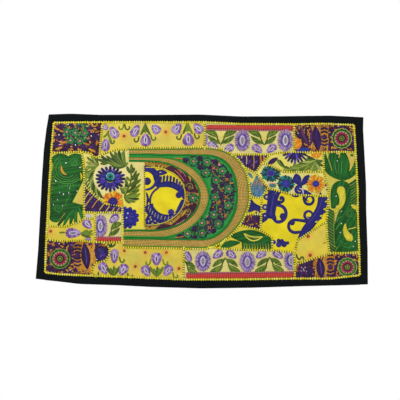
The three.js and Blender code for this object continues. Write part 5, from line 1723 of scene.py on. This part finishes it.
def sewTeardrop():
    # blue-grey drop with tan and lavender threads laid down it
    piece = "patch_teardrop_right"
    fillShape(piece, leafOutline((256.6, 176), (258.6, 199.4), 6.5, 0.0, 0.6), "tealGrey", 80, 0.9, 1.0, 0.2)
    for x, low, high in ((254, 181, 187), (255.8, 179.4, 185), (257.6, 179.6, 186), (259.4, 181.4, 185.6),
                         (261, 183.4, 188)):
        vine(piece, [(x, low), (x + 0.3, (low + high) / 2), (x, high)], 0.42, "tan", 0.6, 1.1, 7)
    vines(piece, ([(256.2, 180), (255, 186), (256.4, 192)], [(259, 183.4), (260.8, 188), (259.4, 193)],
                  [(257.6, 186), (258, 190), (257.6, 193.4)]), 0.36, "lavender", 0.5, 1.2)
    vine(piece, [(257.6, 178.4), (260.6, 182), (263, 186)], 0.5, "tan", 0.6, 1.0)
    fillShape(piece, arcPoints((258.6, 193.6), 3.8, 3.6, 0, 330, 12), "steel", 75, 0.8, 0.8, 0.9)
    vine(piece, [(248, 172.8), (250.4, 175.6), (252.2, 178.6)], (0.8, 1.5, 0.7), "tealGrey")
    vine(piece, [(251.2, 182.4), (250.4, 186), (250.8, 190.4)], 0.7, "steel")
    blobs(piece, [(265.6, 187, 1.3), (266.6, 183, 0.9), (251.4, 194, 1.1), (262.4, 179.6, 0.8)], "dot")
    for x, y in ((251.4, 187), (251.8, 191), (266.6, 190.4), (263.6, 183)):
        vine(piece, [(x - 1.4, y - 1.8), (x, y), (x + 1.6, y + 1.6)], 0.6, "ochre", 0.7, 0.3, 7)
    vine(piece, [(262.6, 184), (264.8, 186.8), (267.4, 189.4)], 0.5, "maroon", 0.7, 0.4, 8)


def curl(piece, root, middle, radius, start, sweep, half):
    # navy stem that runs from its root into a coil, whose radius shrinks by more than half
    t = np.linspace(0, 1, 9)
    angle = np.radians(start + sweep * t)
    coil = np.stack([np.cos(angle), -np.sin(angle)], axis=1) * (radius * (1 - 0.62 * t ** 1.6))[:, None]
    vine(piece, np.r_[[root], np.asarray(middle, float) + coil], np.multiply((1.25, 1.2, 1.0, 0.7), half),
         "navy", 1.1, 0.1, 30)


def sewScrolls():
    # navy scrolls with rolled ends on bright yellow
    piece = "patch_scrolls_right"
    # trunk with two spread feet
    fillShape(piece, bandOutline([(274.2, 190.6), (272.6, 198), (271.2, 207), (269.6, 218)],
                                 (5.8, 4.6, 4.2, 4.4)), "navy", 85, 1.0, 1.1, 0.1)
    for tip in ((262, 222.6), (275.4, 221.6)):
        fillShape(piece, leafOutline((270, 211), tip, 2.2), "navy", 85, 1.0, 1.1, 0.1)
    curl(piece, (274.6, 202), (280.4, 199.2), 3.3, 250, 250, 1.3)
    curl(piece, (303.6, 194.6), (308.8, 199.8), 5.2, 175, 440, 1.25)
    curl(piece, (312, 223), (308.6, 215.4), 4.7, 250, -400, 1.2)
    vine(piece, np.r_[[(273, 205)], arcPoints((278, 213.8), 7.6, 8.4, 85, -130)], 1.75, "navy", 1.1, 0.1, 26)
    vine(piece, arcPoints((295.6, 192.6), 5.6, 3.4, 205, 335, 5), (1.0, 1.9, 1.0), "navy", 1.1, 0.1, 12)
    vine(piece, [(322.6, 192.6), (320.6, 208), (311.4, 222.6), (297.6, 239.4)], (4.8, 4.8, 4.6, 4.4, 2.0),
         "navy", 1.1, 0.1, 26)
    vine(piece, np.r_[[(310, 222)], arcPoints((295, 226.4), 6.9, 6.4, 75, 285), [(302, 231.4)]],
         (1.9, 1.5, 1.5, 1.6, 1.6), "navy", 1.1, 0.1, 26)
    blobs(piece, [(280.4, 199, 1.5), (282.4, 216.6, 3.3), (291.8, 222.8, 2.8)], "navy", 1.0, 0.3)
    # lumps with pale eyes along the trunk, and teeth along the outer band
    for x, y in ((266.4, 197.2), (264.8, 207.4), (264.6, 216)):
        ring(piece, (x, y), 2.2, 0.95, "navy")
        blob(piece, (x, y), 0.9, 0.9, "lilacWhite", rise=0.6, lift=0.8)
    band = smoothLine([(326.2, 198), (325, 207), (321.4, 215), (316, 222)], 8)
    for i, (x, y) in enumerate(band):
        if i % 2:
            blob(piece, (x, y), 1.6, 0.9, "yellow", angle=20, rise=0.6, lift=1.2)
        else:
            vine(piece, [(x - 2, y + 2.4), (x, y), (x + 3.2, y - 0.8)], (1.6, 1.3, 0.7), "navy", 1.0, 0.2, 8)
    # cluster of berries by the lower seam
    blobs(piece, [(273.6, 242.2, 2.2), (278.4, 244.6, 2.9), (278.2, 240.8, 2.0), (283.6, 244.2, 3.1),
                  (287.2, 243, 1.7), (281.4, 241.4, 2.3)], "navy")
    vines(piece, ([(273.6, 195), (272, 204), (270, 216)], [(321.4, 199), (319, 207), (314.6, 215),
                                                           (306, 225.6)]), 0.3, "violet", 0.5, 1.3)
    piece = "patch_scroll_strip"
    fillShape(piece, bandOutline([(250.2, 200), (252.8, 206.6), (260, 208)], (1.0, 3.8, 1.2)), "navy", 70,
              0.95)
    fillShape(piece, leafOutline((255, 206.6), (247.8, 212), 2), "navy", 70, 0.95)
    curl(piece, (254, 209), (257.4, 213), 2.9, 80, -330, 1.2)


def sewOval():
    # navy leaves and a toothed garland round a bare yellow drop
    piece = "neckline_oval"
    drop = (167, 201.4)
    fillShape(piece, bandOutline([(145.2, 169), (151, 170.2), (156.2, 175.4), (157.8, 187)],
                                 (2.2, 2.7, 2.8, 0.8)), "navy", 35, 1.0, 1.1, 0.2)
    fillShape(piece, leafOutline((154.6, 174), (166.8, 173), 2.3, 0.05), "navy", 35, 1.0, 1.1, 0.2)
    # garland in three parts; columns: radii, from and to angle, half widths
    garland = ((17.4, 17, 122, 14, (0.6, 2.4, 2.6, 2.6, 2.0, 1.2)), (16, 14.8, 4, -52, (1.2, 3.0, 3.0, 1.2)),
               (19.6, 17, 196, 298, (4.4, 4.2, 3.4, 3.0, 1.4)))
    for rx, ry, low, high, halves in garland:
        fillShape(piece, bandOutline(arcPoints(drop, rx, ry, low, high), halves), "navy", 60, 1.0, 1.1, 0.2)
    fillShape(piece, bandOutline([(146.4, 220), (155, 223.4), (167, 223.2)], (6.4, 3.4, 0.8)), "navy", 10,
              1.0, 1.1, 0.1)
    for tooth, crown in zip(arcPoints(drop, 18.4, 18.4, 112, 26, 9), arcPoints(drop, 19.6, 26, 107, 30, 9)):
        vine(piece, [tooth, (tooth + crown) / 2, crown], (0.9, 1.1, 1.2), "navy", 1.0, 0.3, 8)
    # rolled ends that reach into the drop
    for middle, turn in (((178.8, 195.4), 30), ((171.2, 212.4), 0)):
        blob(piece, middle, 3.2, 3.1, "navy", rise=1.1, lift=0.3)
        vine(piece, arcPoints((middle[0] + 2.4, middle[1] + 1), 3.4, 3, turn + 40, turn - 90, 4), 1.4, "navy",
             lift=0.3)
        spiral(piece, middle, 2.6, 0.35, "violet", 90, 1.2, 1, 1.3)
    # thin line round the drop on its left, and the round leaf beside it
    vine(piece, arcPoints(drop, 16.8, 15.2, 118, 190), (1.2, 1.0, 0.9, 1.0, 1.4), "navy", 0.9, 0.3, 18)
    blob(piece, (147.4, 181.6), 4.0, 3.9, "navy", rise=1.1)
    spiral(piece, (147.6, 181.6), 2.8, 0.4, "violet", 90, 1.2, -1, 1.1)
    vine(piece, arcPoints((146, 180), 10.4, 10, 8, -95), (1.0, 1.4, 1.4, 1.2, 1.0), "navy", 1.0, 0.2, 18)
    vine(piece, [(146.6, 192.6), (148, 199), (147, 206)], (0.6, 1.2, 1.2, 0.6), "navy", 1.0, 0.2)
    # pale flecks on the navy silk
    flecks = (
        (150.6, 217.6, 50), (155.4, 221.4, -30), (149, 221.6, 80), (152.8, 223.6, 20), (158.6, 223.6, -20),
        (147.6, 225.2, 0), (160.6, 172.8, 0), (151.4, 219.8, -60), (156.6, 224.8, 10),
    )
    for x, y, angle in flecks:
        blob(piece, (x, y), 1.2, 0.6, "cream", angle=angle, rise=0.6, lift=1.2)
    for x, y in arcPoints(drop, 19.6, 17, 202, 285, 9):
        vine(piece, [(x + 0.8, y - 2), (x, y), (x - 0.4, y + 2.4)], 0.3, "cream", 0.5, 1.3, 6)
    # pale line that parts the yellow cloth from the plum one, a little inside the oval's own outline
    edge = necklineLine("oval", 60, ovalEnds)
    centre = edge.mean(axis=0)
    stitch(piece, centre + (edge - centre) * 0.962, 0.5 * photoPixel, pick("yellow", 1)[0], 0.9, 1.2)
    for low, high, rx, ry in ((205, 232, 18.6, 15.4), (232, 262, 19, 17.4), (118, 92, 17.2, 16.8),
                              (85, 48, 17.2, 16.8)):
        vine(piece, arcPoints(drop, rx, ry, low, high, 4), 0.34, "skyBlue", 0.5, 1.2)


def sewNecklineField():
    piece = "neckline_field"
    # the middle of the crescent is crowded with aubergine blossoms; its rims stay green
    crowded = fromPhoto(bandOutline([(207, 161.6), (217.4, 169), (222.6, 186), (222, 205), (214.6, 221),
                                     (205.6, 232)], (3.6, 8.6, 11.6, 11, 8.4, 4)))
    scatter(piece, 5.2, 8.5, 5.0, {"aubergine": 5.6, "plum": 1.8, "maroon": 1.2, "ochre": 0.7,
                                   "lightGreen": 1.0}, crowded, seed=51)
    horns = (fromPhoto([(184, 157.6), (206, 158.6), (206, 170), (199, 166), (190, 163)]),
             fromPhoto([(180, 238), (190, 232), (200, 224), (207, 218), (209, 233), (200, 237.4),
                        (188, 240)]))
    for seed, horn in zip((52, 53), horns):
        scatter(piece, 6.4, 8, 4.4, {"aubergine": 3, "green": 3, "lightGreen": 1}, horn, seed=seed)
    smallFlower(piece, [(193.5, 161.8), (207, 162.8), (205.7, 173.2), (222.3, 171.6), (216, 180.4),
                        (228.8, 189.3), (215, 197.4), (228, 205.8), (213.8, 215), (202, 223.3), (218, 224),
                        (202.2, 233.3), (187.6, 234)], 4.6)
    darkBlossom(piece, [(185.5, 160.5), (199.6, 159), (199.8, 167.4), (215, 162.2), (212.4, 169.6),
                        (229.4, 176.6), (194.4, 228.6), (209.6, 228.6), (213, 231), (179.6, 236.4),
                        (195, 238), (208.6, 222.6)], 3.2)
    blobs(piece, [(219.3, 165.3, 1.2), (212, 189.4, 1.0), (207, 216.6, 1.0)], "pink", 0.7, 0.9)
    for x, y in ((226.7, 180), (225.4, 215.4), (226, 197.4), (213.4, 168.6), (208, 222.8), (209.2, 228),
                 (217.4, 203.4)):
        for turn in (0.5, 2.1, 3.8, 5.4):
            vine(piece, [(x, y), (x + 1.1 * math.cos(turn), y - 1.1 * math.sin(turn)),
                         (x + 2.3 * math.cos(turn + 0.3), y - 2.3 * math.sin(turn + 0.3))], 0.42, "ochre",
                 0.6, 1.0, stations=6)
    vines(piece, ([(174.6, 158.8), (179, 158.9), (183, 159.6)], [(175, 237.6), (180, 237.4), (184, 236.4)]),
          0.8, "ochre", 0.8, 0.5)
    blob(piece, (185.8, 160.6), 2.8, 1.2, "aubergine", lift=0.6)


def sewNecklineEdging():
    # maroon leaves and two curled flowers on the ochre band beside the oval
    piece = "neckline_edging"
    region = np.r_[necklineLine("innerOfSlimBraid", 90, ovalEnds), necklineLine("oval", 90, ovalEnds)[::-1]]
    scatter(piece, 6.0, 8, 3.0, {"ochre": 2, "maroon": 1, "paleLeaf": 0.8}, region, seed=57)
    leaves = (
        (leafOutline((165.8, 169.6), (175, 169), 2.3), 10),
        (bandOutline([(172, 169.6), (181, 173.6), (188, 181), (193.4, 191.4)], (1.2, 3.8, 4.4, 2.8)), 130),
        (bandOutline([(192.8, 206.2), (189, 214), (181.6, 221.6), (170.6, 227.4)], (2.8, 3.8, 3.2, 0.8)), 45),
        (leafOutline((156, 229.6), (171, 226), 2.2, 0.04), 10),
    )
    for outline, angle in leaves:
        fillShape(piece, outline, "maroon", angle, 1.0, 1.0, 0.3)
    vines(piece, ([(174.6, 170.2), (180, 175.6), (184.6, 182)],
                  [(178.6, 170.4), (183.6, 173.6), (186, 177.6)], [(191.6, 187.6), (193.6, 189)],
                  [(185, 219.6), (180.6, 222.6), (175.4, 225)], [(190.6, 213), (187, 217.4)]), 0.32, "pink",
          0.5, 1.5)
    vines(piece, ([(177.4, 169.8), (180.4, 171.4), (181, 174)], [(188, 176.4), (190, 178.6), (190.6, 182)],
                  [(186, 209.6), (184.6, 213), (181.4, 217)]), (0.4, 1.1, 0.4), "ochre", 0.8, 1.3)
    for middle, start, way in (((190, 187.2), 180, -1), ((188, 211.6), 180, 1)):
        rays(piece, middle, 0.4, 5.8, 14, 1.3, "maroon", tip=0.35, lift=0.3)
        spiral(piece, middle, 4.0, 0.4, "paleLeaf", start, 1.3, way, 1.2)
        blob(piece, middle, 0.9, 0.8, "ochre", rise=0.7, lift=1.4)
    fillShape(piece, leafOutline((191.4, 189), (198, 192.8), 1.5), "maroon", 10, 0.8, 1.0, 0.4, 0.3)
    fillShape(piece, leafOutline((190.2, 209.4), (196.6, 204), 1.9), "maroon", 40, 0.8, 1.0, 0.4, 0.3)
    smallFlower(piece, [(193, 198.3)], 4.6)
    for x in np.arange(146, 168, 2.2):
        vine(piece, [(x, 163.8), (x + 0.5, 165)], 0.55, "dot" if int(x) % 2 else "ochre", 0.5, 0.6,
             stations=5)


# Sequins, on the right green patch first, then on the corners, the left green patch and one daisy
sequinSpots = [
    (336.8, 161.2), (335.4, 196.6), (340.5, 211.6), (339.5, 232.6), (352.4, 246.6), (340.4, 223.6),
    (354.4, 241.4), (59.5, 135.5), (76, 145.6), (91.6, 136.6), (68.6, 125), (317.3, 128.4), (317.4, 130.2),
    (297.6, 134), (86.6, 261.2), (97.4, 259.6), (60, 244), (71, 270), (319.6, 263.4), (319.8, 265.2),
    (303, 269), (66.6, 163.4), (80.6, 168), (56.6, 181.6), (77.6, 191.6), (64, 194.6), (206.5, 259.5),
]


def sewSequins():
    # small shiny discs held by one stitch each
    for spot in sequinSpots:
        blob("sequins", spot, 0.62, 0.6, "lilacWhite", rise=0.35, lift=1.7)


for sew in (sewLavenderBuds, sewLavenderDaisies, sewCornerTopLeft, sewCornerTopRight, sewCornerBottomLeft,
            sewCornerBottomRight, sewPlumStrip, sewPlumSlivers, sewSmallDots, sewDaisiesLeft, sewGreenLeft,
            sewGreenRight, sewLongLeaf, sewFernPatch, sewSunflowerPatch, sewTeardrop, sewScrolls, sewOval,
            sewNecklineField, sewNecklineEdging, sewSequins):
    sew()
print("embroidery done")


def finishStrokes(name, piece, material):
    # all strokes of one kind as a piece, with its triangles reported
    made = joinedStrokes(name, piece)
    finishPiece(made, material)
    shown.append(made)
    print(name, len(made.data.polygons) * 2, "triangles")


for piece in [name for name in threadwork if name in patchSides or name in necklineRegions]:
    finishStrokes(piece + "_embroidery", piece, silkThread)
finishStrokes("sequins", "sequins", sequinFilm)
finishStrokes("seam_stitches", "seams", seamYarn)
finishStrokes("neckline_cords", "necklineCords", seamYarn)


# Floor, sky and lamps: plain white surroundings, one soft key from the upper left and a weak fill
studio = {
    "floorDepth": -2.3, "floorSize": 3.0, "backdrop": 1.0, "sky": 0.56, "keyPower": 21.5, "fillPower": 5.0,
}


def makeStudio():
    side = studio["floorSize"]
    floor = addMesh("pale_floor", np.array([[-side, -side, 0], [side, -side, 0], [side, side, 0],
                                            [-side, side, 0]]) * 1000 + [0, 0, studio["floorDepth"] * 1000],
                    np.array([[0, 1, 2, 3]]), smooth=False)
    paint = newMaterial("mattPaint")
    shader = addNode(paint, "ShaderNodeBsdfPrincipled", {"Base Color": (0.82, 0.82, 0.81, 1),
                                                         "Roughness": 0.9})
    addNode(paint, "ShaderNodeOutputMaterial", None, {"Surface": (shader, "BSDF")})
    floor.data.materials.append(paint)
    world = bpy.data.worlds.new("whiteRoom")
    world.use_nodes = True
    world.node_tree.nodes["Background"].inputs["Color"].default_value = (1, 1, 1, 1)
    # the picture shows a pure white room, while the cloth gets a softer share of its light
    seen = addNode(world, "ShaderNodeLightPath")
    strength = addNode(world, "ShaderNodeMapRange", {"To Min": studio["sky"], "To Max": studio["backdrop"]},
                       {"Value": (seen, "Is Camera Ray")})
    world.node_tree.links.new(strength.outputs["Result"],
                              world.node_tree.nodes["Background"].inputs["Strength"])
    bpy.context.scene.world = world
    for name, power, size, place in (("key", studio["keyPower"], 0.9, (-1.2, -1.6, 0.9)),
                                     ("fill", studio["fillPower"], 1.2, (1.4, -1.4, -0.5))):
        lamp = bpy.data.lights.new(name, "AREA")
        lamp.energy, lamp.size = power, size
        holder = bpy.data.objects.new(name, lamp)
        holder.location = place
        toward = -np.array(place) + [0, 0, -0.27]
        holder.rotation_mode = "QUATERNION"
        holder.rotation_quaternion = Vector(toward).to_track_quat("-Z", "Y")
        bpy.context.scene.collection.objects.link(holder)
    bpy.context.scene.view_settings.view_transform = "Standard"


makeStudio()
